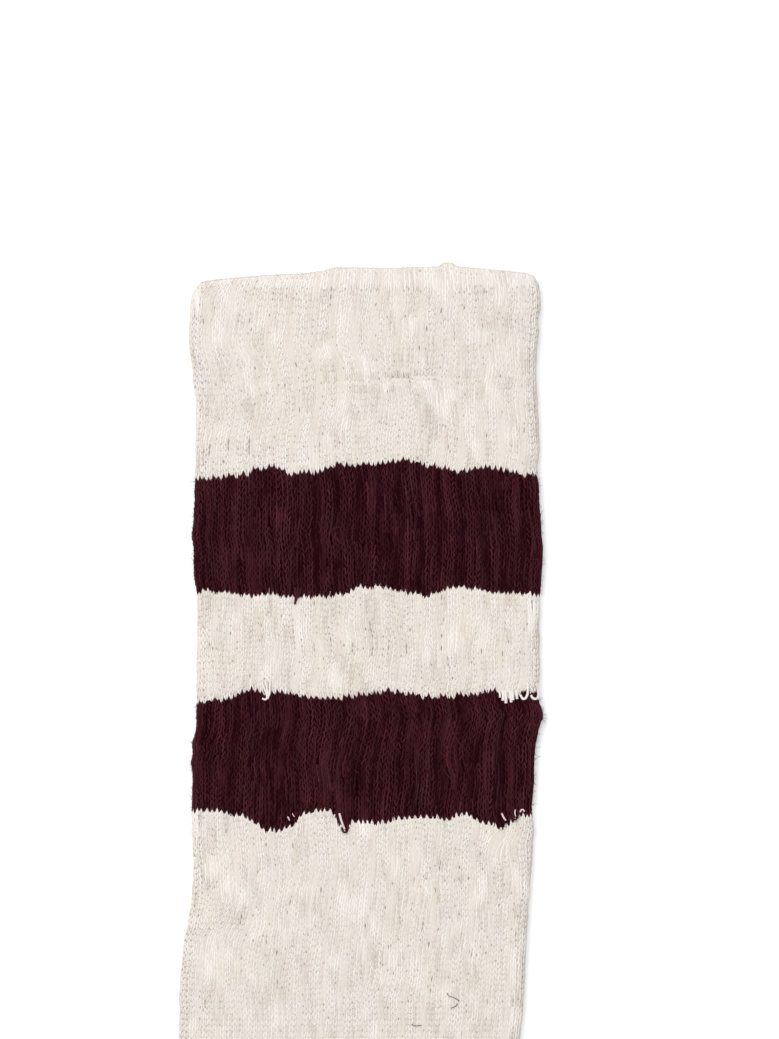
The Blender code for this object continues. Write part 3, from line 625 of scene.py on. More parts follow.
def furrow_depth(x, drop, upper):
    """From 0, level knit, to 1 and more along the middle of a furrow."""
    total = np.zeros(np.shape(x))
    for furrow in FURROWS:
        lengthwise, sideways = lie_of(furrow, x, drop)
        total += np.where(upper, furrow.depth, 0) * np.exp(
            -(lengthwise / furrow.reach_down) ** 4 - (sideways / furrow.reach_x) ** 2)
    return total


def in_stripe(drop):
    """Whether each drop lies in a burgundy stripe."""
    inside = np.zeros(np.shape(drop), dtype=bool)
    for start, end in STRIPES:
        inside |= (drop >= start) & (drop < end)
    return inside


# =============================================================== where the knit has parted
def cut_slits(partings):
    """Part the knit at each slit of the table, widest in its middle."""
    wale, level = find_stitch([slit.x for slit in SLITS], [slit.drop for slit in SLITS])
    for at_wale, at_level, slit in zip(wale, level, SLITS):
        run = max(1, round(slit.length / COURSE))
        top = round(at_level / COURSE - (run - 1) / 2)
        for course in range(top, top + run):
            fade = 1 - 0.5 * abs(course * COURSE - at_level) / (slit.length / 2 + COURSE)
            partings[2 * round(at_wale), course + FIRST_COURSE] = slit.opening * fade


def part_the_knit(seed=61):
    """How far the knit has parted at each half wale and course: slits, pinholes, grooves and ribs."""
    partings = np.zeros((2 * WALES, FIRST_COURSE + math.ceil(COARSE_END / COURSE) + 1))
    cut_slits(partings)
    draw = np.random.default_rng(seed)
    last_course = math.floor(COARSE_END / COURSE) - 2
    for _ in range(2 * PINHOLES):
        at = draw.integers(2 * WALES), draw.integers(3, last_course) + FIRST_COURSE
        partings[at] = max(partings[at], draw.gamma(4.0, 0.060))
    lines, courses = np.meshgrid(*(np.arange(count) for count in partings.shape), indexing="ij")
    drops = (courses - FIRST_COURSE) * COURSE
    place, _ = on_knit(lines / 2, drops)
    x, real_drop = place[..., 0], -place[..., 1]
    slub = slub_strength(x, real_drop, lines < WALES)
    slub[:, :FIRST_COURSE + 4] = 0
    for line, course in zip(*np.nonzero((draw.random(slub.shape) < SLUB_SLITS) & (slub > 0.45))):
        opening, run = draw.uniform(0.22, 0.38), draw.integers(1, 3)
        if in_stripe(drops[line, course]) or partings[line, course - 2:course + 4].any():
            continue
        partings[line, course:course + run] = opening
    between = slice(None, None, 2)
    lines, courses = lines[between], courses[between]
    grooves = soft_noise(lines * WALE_WIDTH / 2, courses * COURSE, 0.6, 5.0, 62)
    partings[between] = np.maximum(partings[between], np.clip(grooves - 0.9, 0, 1.2) * 0.17)
    furrow = np.minimum(furrow_depth(x[between], real_drop[between], lines < WALES), 1)
    furrow = np.where(in_stripe(drops[between]), 0, furrow)
    furrow = 0.31 * furrow * draw.uniform(0.6, 1.2, furrow.shape)
    partings[between] = np.maximum(partings[between], furrow)
    ribs = slice(2, None, 2 * RIB_WALES)
    strength = np.where(in_stripe(drops[ribs]), 0, 0.19) * (1 - 0.6 * slub[ribs])
    partings[ribs] = np.maximum(partings[ribs], strength * draw.uniform(0.5, 1.4, strength.shape))
    return partings


PARTINGS = part_the_knit()


# =============================================================== meshes
def find_origin():
    """The middle of the cuff, in millimetres in the CAD's frame, from the CAD's box."""
    low, high = (np.array(corner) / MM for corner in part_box("sock"))
    front, back = RINGS[:, 0:2], RINGS[:, 2:4]
    across = unit(back - front)
    up_leg = np.stack((-across[:, 1], across[:, 0]), axis=1)
    outline = np.concatenate((front, back, (front + back) / 2 + up_leg * RINGS[:, BOW, None]))
    middle = (low[:2] + high[:2]) / 2 - (outline.min(axis=0) + outline.max(axis=0)) / 2
    return np.array((middle[0], middle[1], low[2]))


ORIGIN = find_origin()


def to_row_frame(places):
    """From millimetres about the middle of the cuff to metres in the CAD's frame."""
    return (places + ORIGIN) * MM


def new_object(name, data):
    """Put a mesh, curve, lamp or camera in the scene as an object of its own."""
    thing = bpy.data.objects.new(name, data)
    bpy.context.scene.collection.objects.link(thing)
    return thing


def round_mesh(name, places, tips):
    """A closed tube from rows of places, each row a ring, with a fan to a tip at both ends."""
    rows, columns = places.shape[:2]
    index = np.arange(rows * columns).reshape(rows, columns)
    after = np.roll(index, -1, axis=1)
    quads = np.stack((index[:-1], after[:-1], after[1:], index[1:]), axis=-1).reshape(-1, 4)
    first_tip, last_tip = rows * columns, rows * columns + 1
    start_fan = [(int(b), int(a), first_tip) for a, b in zip(index[0], after[0])]
    end_fan = [(int(a), int(b), last_tip) for a, b in zip(index[-1], after[-1])]
    mesh = bpy.data.meshes.new(name)
    mesh.from_pydata(np.concatenate((places.reshape(-1, 3), tips)).tolist(), [],
                     quads.tolist() + start_fan + end_fan)
    mesh.shade_smooth()
    return mesh


def settle(thing, name, material):
    """Turn laid points or a curve into a plain mesh object of one material."""
    mesh = bpy.data.meshes.new_from_object(thing.evaluated_get(bpy.context.evaluated_depsgraph_get()))
    thing.modifiers.clear()
    bpy.data.objects.remove(thing, do_unlink=True)
    for field in LAYING_FIELDS:
        if field in mesh.attributes:
            mesh.attributes.remove(mesh.attributes[field])
    mesh.materials.clear()
    mesh.materials.append(material)
    mesh.polygons.foreach_set("material_index", np.zeros(len(mesh.polygons), dtype=np.int32))
    mesh.name = name
    return new_object(name, mesh)


# =============================================================== nodes
def fill(tree, node, inputs):
    """Set each named input of a node to a number, colour or name, or feed it from another node's socket."""
    for name, value in dict(inputs).items():
        socket = node.inputs[name]
        if isinstance(value, bpy.types.NodeSocket):
            tree.links.new(value, socket)
        elif socket.type == "RGBA":
            socket.default_value = (*value, 1)
        else:
            socket.default_value = value


def add_node(tree, kind, inputs=(), **settings):
    """A node with its settings made and then its inputs filled."""
    node = tree.nodes.new(kind)
    for setting, value in settings.items():
        setattr(node, setting, value)
    fill(tree, node, inputs)
    return node


def math_node(tree, operation, *values):
    """A Math node fed by sockets or numbers, and its result."""
    return add_node(tree, "ShaderNodeMath", enumerate(values), operation=operation).outputs[0]


def mix_node(tree, blend, factor, first, second):
    """A colour Mix node fed by sockets, numbers or colours, and its result."""
    inputs = {"Factor": factor, "A": first, "B": second}
    return add_node(tree, "ShaderNodeMix", inputs, data_type="RGBA", blend_type=blend).outputs["Result"]


def new_group(name, inputs, outputs):
    """An empty shader node group. A socket named Color is a colour, and every other one a number."""
    group = bpy.data.node_groups.new(name, "ShaderNodeTree")
    for in_out, sockets in (("INPUT", inputs), ("OUTPUT", dict.fromkeys(outputs))):
        for socket, value in sockets.items():
            kind = "NodeSocketColor" if socket == "Color" else "NodeSocketFloat"
            item = group.interface.new_socket(socket, in_out=in_out, socket_type=kind)
            if value is not None:
                item.default_value = value
    return group, group.nodes.new("NodeGroupInput").outputs, group.nodes.new("NodeGroupOutput")


def place_group(tree, group, **values):
    """Put a shader group in a material with its own values."""
    inputs = {socket.replace("_", " "): value for socket, value in values.items()}
    return add_node(tree, "ShaderNodeGroup", inputs, node_tree=group)


# =============================================================== yarns and cloths
def heather_group():
    """Faint patches of pink, green and straw in undyed yarn, with fine flecks of stray fibre."""
    group, given, result = new_group(
        "heather", {"Color": None, "Patch Size": 90.0, "Patches": 0.1, "Flecks": 0.1}, ("Color",))
    place = add_node(group, "ShaderNodeTexCoord").outputs["Object"]
    patches = add_node(group, "ShaderNodeTexNoise",
                       {"Vector": place, "Scale": given["Patch Size"], "Detail": 2.0})
    flecks = add_node(group, "ShaderNodeTexNoise", {"Vector": place, "Scale": 2600.0, "Detail": 1.0})
    tinted = mix_node(group, "OVERLAY", given["Patches"], given["Color"], patches.outputs["Color"])
    flecked = mix_node(group, "OVERLAY", given["Flecks"], tinted, flecks.outputs["Fac"])
    fill(group, result, {"Color": flecked})
    return group


def strand_place(group):
    """How far round and along its own strand each place of a yarn lies."""
    strand = add_node(group, "ShaderNodeAttribute", attribute_name="strand")
    split = add_node(group, "ShaderNodeSeparateXYZ", {"Vector": strand.outputs["Vector"]})
    return split.outputs["X"], split.outputs["Y"]


def twist_group():
    """The plies of a spun yarn, which wind round it along its own strand map."""
    group, given, result = new_group("yarn_twist", {"Turns": 2.0, "Plies": 3.0}, ("Height",))
    around, along = strand_place(group)
    wound = math_node(group, "MULTIPLY", around, given["Plies"])
    gone = math_node(group, "MULTIPLY", along, given["Turns"])
    angle = math_node(group, "MULTIPLY", math_node(group, "ADD", wound, gone), 2 * math.pi)
    height = math_node(group, "MULTIPLY", math_node(group, "SINE", angle), 0.5)
    fill(group, result, {"Height": math_node(group, "ADD", height, 0.5)})
    return group


def tucked_shade_group():
    """Painted shade: from 0 in the middle of a stitch's leg to 1 where its ends dive under their neighbours,
    scaled by the stitch's depth attribute.
    """
    group, given, result = new_group("tucked_end_shade", {"Start": 0.2, "Reach": 0.2}, ("Mask",))
    _, along = strand_place(group)
    from_middle = math_node(group, "ABSOLUTE", math_node(group, "SUBTRACT", along, 0.5))
    past = math_node(group, "SUBTRACT", from_middle, given["Start"])
    mask = math_node(group, "DIVIDE", past, given["Reach"])
    mask.node.use_clamp = True
    depth = add_node(group, "ShaderNodeAttribute", attribute_name="depth")
    fill(group, result, {"Mask": math_node(group, "MULTIPLY", mask, depth.outputs["Fac"])})
    return group


def fine_knit_group():
    """Small V stitches that follow the cloth's own map, with uneven rows and streaks along them."""
    group, given, result = new_group(
        "fine_knit", {"Wales": float(WALES), "Courses": 500.0, "Slope": 0.6}, ("Height", "Streaks"))
    cloth_map = add_node(group, "ShaderNodeUVMap", uv_map="UVMap").outputs["UV"]
    split = add_node(group, "ShaderNodeSeparateXYZ", {"Vector": cloth_map}).outputs
    wale = math_node(group, "FRACT", math_node(group, "MULTIPLY", split["X"], given["Wales"]))
    from_middle = math_node(group, "ABSOLUTE", math_node(group, "SUBTRACT", wale, 0.5))
    arm = math_node(group, "MULTIPLY", from_middle, 2.0)
    course = math_node(group, "MULTIPLY", split["Y"], given["Courses"])
    slanted = math_node(group, "ADD", course, math_node(group, "MULTIPLY", arm, given["Slope"]))
    row = math_node(group, "MULTIPLY", math_node(group, "FRACT", slanted), math.pi)
    across = math_node(group, "SINE", math_node(group, "MULTIPLY", arm, math.pi))
    height = math_node(group, "MULTIPLY", math_node(group, "POWER", across, 0.6),
                       math_node(group, "SINE", row))
    stretch = add_node(group, "ShaderNodeMapping", {"Vector": cloth_map, "Scale": STREAK_SCALE})
    streaks = add_node(group, "ShaderNodeTexNoise",
                       {"Vector": stretch.outputs["Vector"], "Scale": 1.0, "Detail": 3.0})
    fill(group, result, {"Height": height, "Streaks": streaks.outputs["Fac"]})
    return group


def soft_cloth(name, sheen, sheen_tint, specular=0.1):
    """A new material with the matt, slightly downy surface of cotton."""
    material = bpy.data.materials.new(name)
    material.use_nodes = True
    shader = material.node_tree.nodes["Principled BSDF"]
    fill(material.node_tree, shader,
         {"Roughness": 0.95, "Specular IOR Level": specular, "Sheen Weight": sheen, "Sheen Roughness": 0.6,
          "Sheen Tint": sheen_tint})
    return material, shader


def add_bump(tree, height, shader, distance, strength=0.6):
    """Lead a height into a shader's normal."""
    bump = add_node(tree, "ShaderNodeBump", {"Strength": strength, "Distance": distance, "Height": height})
    fill(tree, shader, {"Normal": bump.outputs["Normal"]})


def spun_yarn(name, groups, light, dark, tucked_shade, patches, sheen, sheen_tint, specular=0.1):
    """Twisted, heathered yarn as pale as each stitch's tone attribute says, with painted shade where its ends
    tuck in.
    """
    material, shader = soft_cloth(name, sheen, sheen_tint, specular)
    tree = material.node_tree
    tone = add_node(tree, "ShaderNodeAttribute", attribute_name="tone")
    twist = place_group(tree, groups["twist"], Turns=2.0, Plies=2.0)
    ends = place_group(tree, groups["tucked_shade"], Start=0.25, Reach=0.15)
    shown = mix_node(tree, "MIX", tone.outputs["Fac"], dark, light)
    # painted shade: the tucked-in ends of each leg are mixed towards a darker colour
    base = mix_node(tree, "MIX", ends.outputs["Mask"], shown, tucked_shade)
    heather = place_group(tree, groups["heather"], Color=base, Patch_Size=165.0, Patches=patches, Flecks=0.05)
    # painted light and shade along the plies: the twist's height also lightens their crowns and darkens the
    # grooves between them
    ply_shade = mix_node(tree, "SOFT_LIGHT", 0.10, heather.outputs["Color"], twist.outputs["Height"])
    fill(tree, shader, {"Base Color": ply_shade})
    add_bump(tree, twist.outputs["Height"], shader, 0.04 * MM)
    return material


def plain_cloth(name, groups, colour):
    """Cloth or yarn of one colour, such as the plain back of the knit seen between stitches, which is
    coloured darker than its yarn as painted shade.
    """
    material, shader = soft_cloth(name, 0.0, (1, 1, 1), 0.0)
    tree = material.node_tree
    heather = place_group(tree, groups["heather"], Color=colour, Patch_Size=95.0, Patches=0.1, Flecks=0.2)
    fill(tree, shader, {"Base Color": heather.outputs["Color"]})
    return material


def fine_knit_cloth(name, groups):
    """The smooth knit of heel, foot and toe: small stitches and heathered rows, painted darker in the low
    parts of each stitch as shade.
    """
    material, shader = soft_cloth(name, 0.12, CREAM_DOWN)
    tree = material.node_tree
    knit = place_group(tree, groups["fine_knit"], Wales=float(WALES),
                       Courses=SOCK_LENGTH / FINE_COURSE, Slope=0.6)
    # painted shade: the stitch pattern's height darkens the colour where it is low and lightens it where it
    # is high
    pit_shade = mix_node(tree, "MIX", knit.outputs["Height"], (0.63, 0.565, 0.495), (0.895, 0.84, 0.785))
    streaked = mix_node(tree, "SOFT_LIGHT", 0.35, pit_shade, knit.outputs["Streaks"])
    heather = place_group(tree, groups["heather"], Color=streaked, Patch_Size=60.0, Patches=0.10, Flecks=0.12)
    fill(tree, shader, {"Base Color": heather.outputs["Color"]})
    add_bump(tree, knit.outputs["Height"], shader, 0.25 * MM, 0.8)
    return material


def make_yarns():
    """Every material of the sock, by name."""
    groups = {"heather": heather_group(), "twist": twist_group(), "tucked_shade": tucked_shade_group(),
              "fine_knit": fine_knit_group()}
    yarns = {name: plain_cloth(full_name, groups, colour) for name, full_name, colour in PLAIN_COLOURS}
    yarns["foot"] = fine_knit_cloth("fine_knit_cloth", groups)
    # each yarn: the light and dark ends of its tone, then the colour of the painted shade at its tucked-in
    # ends
    yarns["cream"] = spun_yarn("cream_yarn", groups, (0.885, 0.85, 0.82), (0.66, 0.60, 0.545),
                               (0.50, 0.445, 0.395), 0.06, 0.15, CREAM_DOWN)
    yarns["burgundy"] = spun_yarn("burgundy_yarn", groups, (0.0875, 0.0228, 0.0306), (0.0155, 0.0020, 0.0036),
                                  (0.0205, 0.0026, 0.0045), 0.24, 0.10, BURGUNDY_DOWN, 0.02)
    return yarns


# =============================================================== Geometry Nodes
def lay_tree(name, shape, material, **sizes):
    """Geometry Nodes that lay one shape on every point, turned and sized by the points' attributes.

    shape(tree, given) returns the shape's geometry and, where it has one, its own map.
    """
    tree = bpy.data.node_groups.new(name, "GeometryNodeTree")
    tree.interface.new_socket("Geometry", in_out="INPUT", socket_type="NodeSocketGeometry")
    values = {}
    for size, value in {**sizes, "Yarn": material}.items():
        kind = {int: "NodeSocketInt", float: "NodeSocketFloat"}.get(type(value), "NodeSocketMaterial")
        socket = tree.interface.new_socket(size, in_out="INPUT", socket_type=kind)
        values[socket.identifier] = value
    tree.interface.new_socket("Geometry", in_out="OUTPUT", socket_type="NodeSocketGeometry")
    given = tree.nodes.new("NodeGroupInput").outputs

    mapped = add_node(tree, "GeometryNodeStoreNamedAttribute", {"Name": "strand", **shape(tree, given)},
                      data_type="FLOAT2", domain="CORNER")
    along, outward, half_size = (
        add_node(tree, "GeometryNodeInputNamedAttribute", {"Name": field},
                 data_type="FLOAT_VECTOR").outputs["Attribute"] for field in LAYING_FIELDS)
    lengthwise = add_node(tree, "FunctionNodeAlignRotationToVector", {"Vector": along}, axis="Z")
    facing = add_node(tree, "FunctionNodeAlignRotationToVector",
                      {"Rotation": lengthwise.outputs["Rotation"], "Vector": outward},
                      axis="X", pivot_axis="Z")
    laid = add_node(tree, "GeometryNodeInstanceOnPoints",
                    {"Points": given["Geometry"], "Instance": mapped.outputs["Geometry"],
                     "Rotation": facing.outputs["Rotation"], "Scale": half_size})
    real = add_node(tree, "GeometryNodeRealizeInstances", {"Geometry": laid.outputs["Instances"]})
    smooth = add_node(tree, "GeometryNodeSetShadeSmooth", {"Geometry": real.outputs["Geometry"]})
    dyed = add_node(tree, "GeometryNodeSetMaterial",
                    {"Geometry": smooth.outputs["Geometry"], "Material": given["Yarn"]})
    add_node(tree, "NodeGroupOutput", {"Geometry": dyed.outputs["Geometry"]})
    return tree, values


def stitch_leg(tree, given):
    """One leg of a stitch: a short spindle of yarn."""
    spindle = add_node(tree, "GeometryNodeMeshUVSphere",
                       {"Radius": 1.0, "Segments": given["Sides"], "Rings": given["Rings"]})
    return {"Geometry": spindle.outputs["Mesh"], "Value": spindle.outputs["UV Map"]}


def curved_fibre(tree, given):
    """One stray fibre: a thin bent tube that rises from the yarn."""
    bend = add_node(tree, "GeometryNodeCurveQuadraticBezier",
                    {"Start": (0, 0, 0), "Middle": (0.45, 0, 0.45), "End": (0.25, 0, 1.0),
                     "Resolution": given["Bends"]})
    ring = add_node(tree, "GeometryNodeCurvePrimitiveCircle", {"Resolution": 3, "Radius": given["Thickness"]})
    tube = add_node(tree, "GeometryNodeCurveToMesh",
                    {"Fill Caps": True, "Curve": bend.outputs["Curve"],
                     "Profile Curve": ring.outputs["Curve"]})
    return {"Geometry": tube.outputs["Mesh"]}


def lay_on_points(name, places, fields, shape, material, **sizes):
    """Lay a shape on every place, by fields of direction and size, as one plain mesh object."""
    points = bpy.data.meshes.new(name + "_points")
    points.from_pydata(to_row_frame(places).tolist(), [], [])
    for field, values in fields.items():
        kind, key = ("FLOAT_VECTOR", "vector") if values.ndim == 2 else ("FLOAT", "value")
        attribute = points.attributes.new(field, kind, "POINT")
        attribute.data.foreach_set(key, values.astype(np.float32).ravel())
    cloud = new_object(name + "_points", points)
    modifier = cloud.modifiers.new(name, "NODES")
    modifier.node_group, values = lay_tree(name + "_tree", shape, material, **sizes)
    for identifier, value in values.items():
        modifier[identifier] = value
    return settle(cloud, name, material)


# =============================================================== stitches
def stitch_tone(striped, slub, rib_light_shade, furrow, soiled, edge, turned, beside, own, streak, mottle, strand):
    """From 0, dark yarn, to 1, pale yarn, before clipping, for each burgundy or cream stitch. Own, streak,
    mottle, strand, slub and soiled vary the yarn's own colour; rib adds painted light on rib crowns and
    painted shade in their hollows, edge a painted highlight near the front edge, and furrow, turned and
    beside painted shade in grooves, sunken rib wales and beside partings.
    """
    # in both yarns rib gives painted light and shade, furrow and turned painted shade; edge gives the
    # burgundy a painted highlight, beside gives the cream painted shade
    burgundy = (0.44 + 0.10 * own + 0.06 * mottle + 0.12 * rib_light_shade + 1.2 * streak - 0.04 * slub
                - 0.30 * furrow - 0.13 * turned + 0.20 * edge)
    cream = np.minimum(0.63 + 0.03 * own + 0.06 * rib_light_shade + 1.0 * streak + 0.20 * mottle, PALEST)
    cream = cream - 0.6 * beside - 0.30 * furrow - 0.22 * turned - 0.45 * soiled
    return np.where(striped, burgundy, cream - 0.22 * slub * np.clip(strand - 0.7, 0, 1.2))


def stitch_legs(first_wale, last_wale, first_drop, last_drop, seed):
    """Both legs of every stitch in a patch of the coarse knit: their places and fields."""
    wales = np.arange(first_wale, last_wale)
    courses = np.arange(math.ceil(first_drop / COURSE), math.ceil(last_drop / COURSE))
    column, course = (values.ravel() for values in np.meshgrid(wales, courses))
    wale, drop = column + 0.5, course * COURSE
    draw = np.random.default_rng(seed)
    middle, _ = on_knit(wale, drop)
    x, real_drop = middle[:, 0], -middle[:, 1]
    _, upper = across_leg(wale, drop)
    slub = slub_strength(x, real_drop, upper)
    striped = in_stripe(drop)
    # painted light and shade: stitches on the crowns of the relief's uneven ribs are painted paler, those in
    # their hollows darker
    rib_light_shade = rib_field(own_side(x, upper), real_drop)
    tucked_shade_strength = np.interp(real_drop, (45, 150), (0.58, 0.74))
    tucked_shade_strength = tucked_shade_strength + 0.12 * soft_noise(x, real_drop, 11.0, 6.0, 42)
    # furrows sink and part the stitches, and their stitches are also painted darker as shade
    furrow = furrow_depth(x, real_drop, upper)
    between_ribs = np.clip(1.0 + 0.3 * soft_noise(x, real_drop, 6.0, 9.0, 48), 0, 1.5) * (1 - 0.5 * slub)
    sunk = np.where(striped, 0.16, 0.03) * np.minimum(furrow, 1)
    centre = PARTINGS[2 * column + 1, course + FIRST_COURSE]
    first = (course == courses[0]) & (first_drop in BORDER_WAVES)
    soiled = np.clip(soft_noise(x, real_drop, 0.8, 3.2, 46) - 0.8, 0, 1.2) * (1 - slub)
    chain = np.where(striped, np.clip(0.72 + 0.5 * soft_noise(x, real_drop, 1.0, 9.0, 47), 0.1, 1.3), 1)
    # painted highlight on the burgundy's first wales, where the laid edge rounds over towards the light
    edge = np.clip(1 - wale / LIT_WALES, 0, 1) * upper
    after, before = (on_knit(wale + aside, drop, -0.34)[0] for aside in (0.5, -0.5))
    marks = {"striped": striped, "slub": slub, "rib_light_shade": rib_light_shade, "furrow": furrow, "soiled": soiled, "edge": edge}
    clouds = []
    for hand in (-1, 1):
        shake = draw.normal(0, 1, (5, len(wale)))
        # turned marks the sunken rib wales, whose stitches also get painted shade: darker tone and more
        # tucked shade
        valley = np.cos(2 * math.pi * (column - 0.25 + 0.25 * hand) / RIB_WALES)
        turned = np.clip(valley, 0, 1) * between_ribs
        # beside moves a leg away from its parted neighbour, and also paints shade on the cream yarn beside
        # the gap
        beside = PARTINGS[(2 * column + 1 + hand) % (2 * WALES), course + FIRST_COURSE]
        apart_low = (0.5 * centre - 0.30 * beside) / WALE_WIDTH
        apart_high = (0.25 * centre - 0.5 * beside) / WALE_WIDTH
        low_wale = wale + hand * (LOW_ASIDE + 0.04 * slub + apart_low + 0.035 * shake[0])
        high_wale = wale + hand * (HIGH_ASIDE - 0.04 * slub + 0.06 * first + apart_high + 0.035 * shake[1])
        reach = 1 + 0.20 * slub + 0.07 * shake[4]
        low_drop = drop + COURSE * (LEG_MIDDLE + HALF_REACH * reach)
        high_drop = drop + COURSE * (LEG_MIDDLE - HALF_REACH * reach - TOOTH * first)
        low, high = (on_knit(end_wale, end_drop, base + 0.04 * slub - sunk - 0.08 * turned)[0]
                     for end_wale, end_drop, base in ((low_wale, low_drop, LOW_BASE),
                                                      (high_wale, high_drop, HIGH_BASE)))
        along = high - low
        thick = np.where(striped, BURGUNDY_THICKNESS, CREAM_THICKNESS) + 0.16 * slub + 0.02 * shake[3]
        broad = LEG_BREADTH - 0.04 * slub + 0.015 * shake[2]
        half_size = np.stack((broad, thick, np.linalg.norm(along, axis=1) * OVERLAP), axis=1)
        hand_x = x + 200 * hand
        streak = soft_noise(hand_x, real_drop, 0.75, 3.2, 41) * 0.10
        mottle = soft_noise(hand_x, real_drop, 1.1, 1.6, 44)
        strand = soft_noise(hand_x, real_drop, 0.65, 5.0, 45)
        own = draw.normal(0, 1, len(wale))
        tone = stitch_tone(**marks, turned=turned, beside=beside, own=own, streak=streak, mottle=mottle,
                           strand=strand)
        # buried and depth set how much painted shade the tucked ends get: more in close knit, in furrows, in
        # rib hollows and beside partings, and unevenly in the stripes
        buried = tucked_shade_strength + 0.24 * strand - 0.14 * mottle + 0.12 * draw.normal(0, 1, len(wale))
        depth = (1 - 0.8 * slub) * chain * buried
        depth = depth + 0.8 * beside + 0.25 * furrow + 0.26 * turned
        clouds.append(((low + high) / 2, unit(along), unit(np.cross(after - before, along)), half_size * MM,
                       np.clip(tone, 0, 1), np.clip(depth, 0, 1)))
    places, *fields = (np.concatenate(parts) for parts in zip(*clouds))
    return places, dict(zip((*LAYING_FIELDS, "tone", "depth"), fields))


def knit_patch(name, wales, drops, material, sides, rings, seed):
    """One patch of the coarse knit as a mesh of real stitches."""
    places, fields = stitch_legs(*wales, *drops, seed)
    return lay_on_points(name, places, fields, stitch_leg, material, Sides=sides, Rings=rings)


def knit_hollow_shade(name, material, striped):
    """Painted shade: dark spindles under the places where the knit has parted, standing for the shadow in the
    holes.
    """
    line, course = np.nonzero(PARTINGS > NARROWEST_HOLLOW)
    kept = in_stripe((course - FIRST_COURSE) * COURSE) == striped
    line, course = line[kept], course[kept]
    opening = PARTINGS[line, course]
    nearby = PARTINGS[line, course - 1] + PARTINGS[line, np.minimum(course + 1, PARTINGS.shape[1] - 1)]
    wale = line / 2
    drop = (course - FIRST_COURSE) * COURSE + np.where(line % 2 == 0, 0.55 * COURSE, 0.0)
    height = STRIPE_LOOP_HEIGHT if striped else LOOP_HEIGHT
    place, outward = on_knit(wale, drop, 0.03 - height)
    above, below = (on_knit(wale, drop + past)[0] for past in (-0.5, 0.5))
    run_on = np.where((nearby > NARROWEST_HOLLOW) & (opening > 0.29), 0.53 * COURSE, opening * 0.5 + 0.25)
    half_size = np.stack((np.full(len(wale), 0.09), opening * 0.28 + 0.04, run_on), axis=1)
    fields = {"along": unit(above - below), "outward": outward, "half_size": half_size * MM}
    return lay_on_points(name, place, fields, stitch_leg, material, Sides=5, Rings=3)


def seam_run(name, material, path, spacing, lift, size, seed):
    """A row of short slanted stitches along a path of wales and drops, as a gore or a linked toe has."""
    path = np.array(path, dtype=float)
    fine = np.linspace(0, len(path) - 1, 200)
    wale, drop = (np.interp(fine, np.arange(len(path)), path[:, column]) for column in (0, 1))
    line, _ = on_sock(wale, drop, lift)
    gone = np.concatenate(((0.0,), np.cumsum(np.linalg.norm(np.diff(line, axis=0), axis=1))))
    count = round(gone[-1] / spacing)
    at = (np.arange(count) + 0.5) / count * gone[-1]
    place, outward = on_sock(np.interp(at, gone, wale), np.interp(at, gone, drop), lift)
    ahead = unit(np.gradient(place, axis=0))
    lean = np.where(np.arange(count) % 2 == 0, 0.8, -0.8)[:, None]
    draw = np.random.default_rng(seed)
    half_size = np.array(size) * (1 + 0.08 * draw.normal(0, 1, (count, 3)))
    fields = {"along": unit(ahead + np.cross(outward, ahead) * lean), "outward": outward,
              "half_size": half_size * MM, "tone": np.clip(draw.normal(0.55, 0.15, count), 0, 1)}
    return lay_on_points(name, place, fields, stitch_leg, material, Sides=5, Rings=4)


# =============================================================== loose ends
def stray_fibres(name, material, count, striped, seed, edges):
    """Down that stands off the yarn, over the faces or along the laid edges and the rim."""
    draw = np.random.default_rng(seed)
    if striped:
        start, end = (np.array(values) for values in zip(*STRIPES))
        pick = draw.integers(0, len(STRIPES), count)
        drop = draw.uniform(start[pick] + 0.5, end[pick])
    else:
        drop = draw.uniform(2.6, SOCK_LENGTH - 6 if edges else COARSE_END, count)
        drop = np.where(in_stripe(drop), draw.uniform(151.5, COARSE_END, count), drop)
    wale = draw.uniform(0, WALES, count)
    if edges:
        wale = draw.choice((0.0, WALES / 2), count) + draw.normal(0, 1.1, count)
    else:
        crowd = draw.random(count) < 0.8
        wale = np.where(crowd, draw.uniform(0, WALES / 2, count), wale)
    place, outward = on_knit(np.mod(wale, WALES), drop, -0.12)
    aside = draw.normal(0, 1, (count, 3))
    aside[:, 0] *= 1.0 if edges else 0.35
    aside = unit(aside - outward * np.sum(aside * outward, axis=1, keepdims=True))
    rise = draw.uniform(0.15, 0.75, count)[:, None]
    along = unit(outward * rise + aside * (1 - rise))
    length = draw.gamma(5.0, 0.17, count)
    half_size = np.repeat(np.clip(length, 0.3, 2.4)[:, None], 3, axis=1)
    tone = draw.uniform(0.5, 1.0, count)
    clear = place[:, 2] + np.minimum(along[:, 2], 0) * 1.4 * half_size[:, 0] > 0.15
    fields = {"along": along[clear], "outward": aside[clear], "half_size": half_size[clear] * MM,
              "tone": tone[clear]}
    return lay_on_points(name, place[clear], fields, curved_fibre, material, Bends=3, Thickness=0.028)


def new_curve(name, thickness, facets):
    """An empty curve with the thickness of a yarn and closed ends."""
    curve = bpy.data.curves.new(name, "CURVE")
    curve.dimensions = "3D"
    curve.bevel_depth = thickness * MM
    curve.bevel_resolution = facets
    curve.use_fill_caps = True
    return curve


def settle_curve(curve, name, material):
    """Turn a curve into a smooth plain mesh object."""
    thing = settle(new_object(name + "_curve", curve), name, material)
    thing.data.shade_smooth()
    return thing


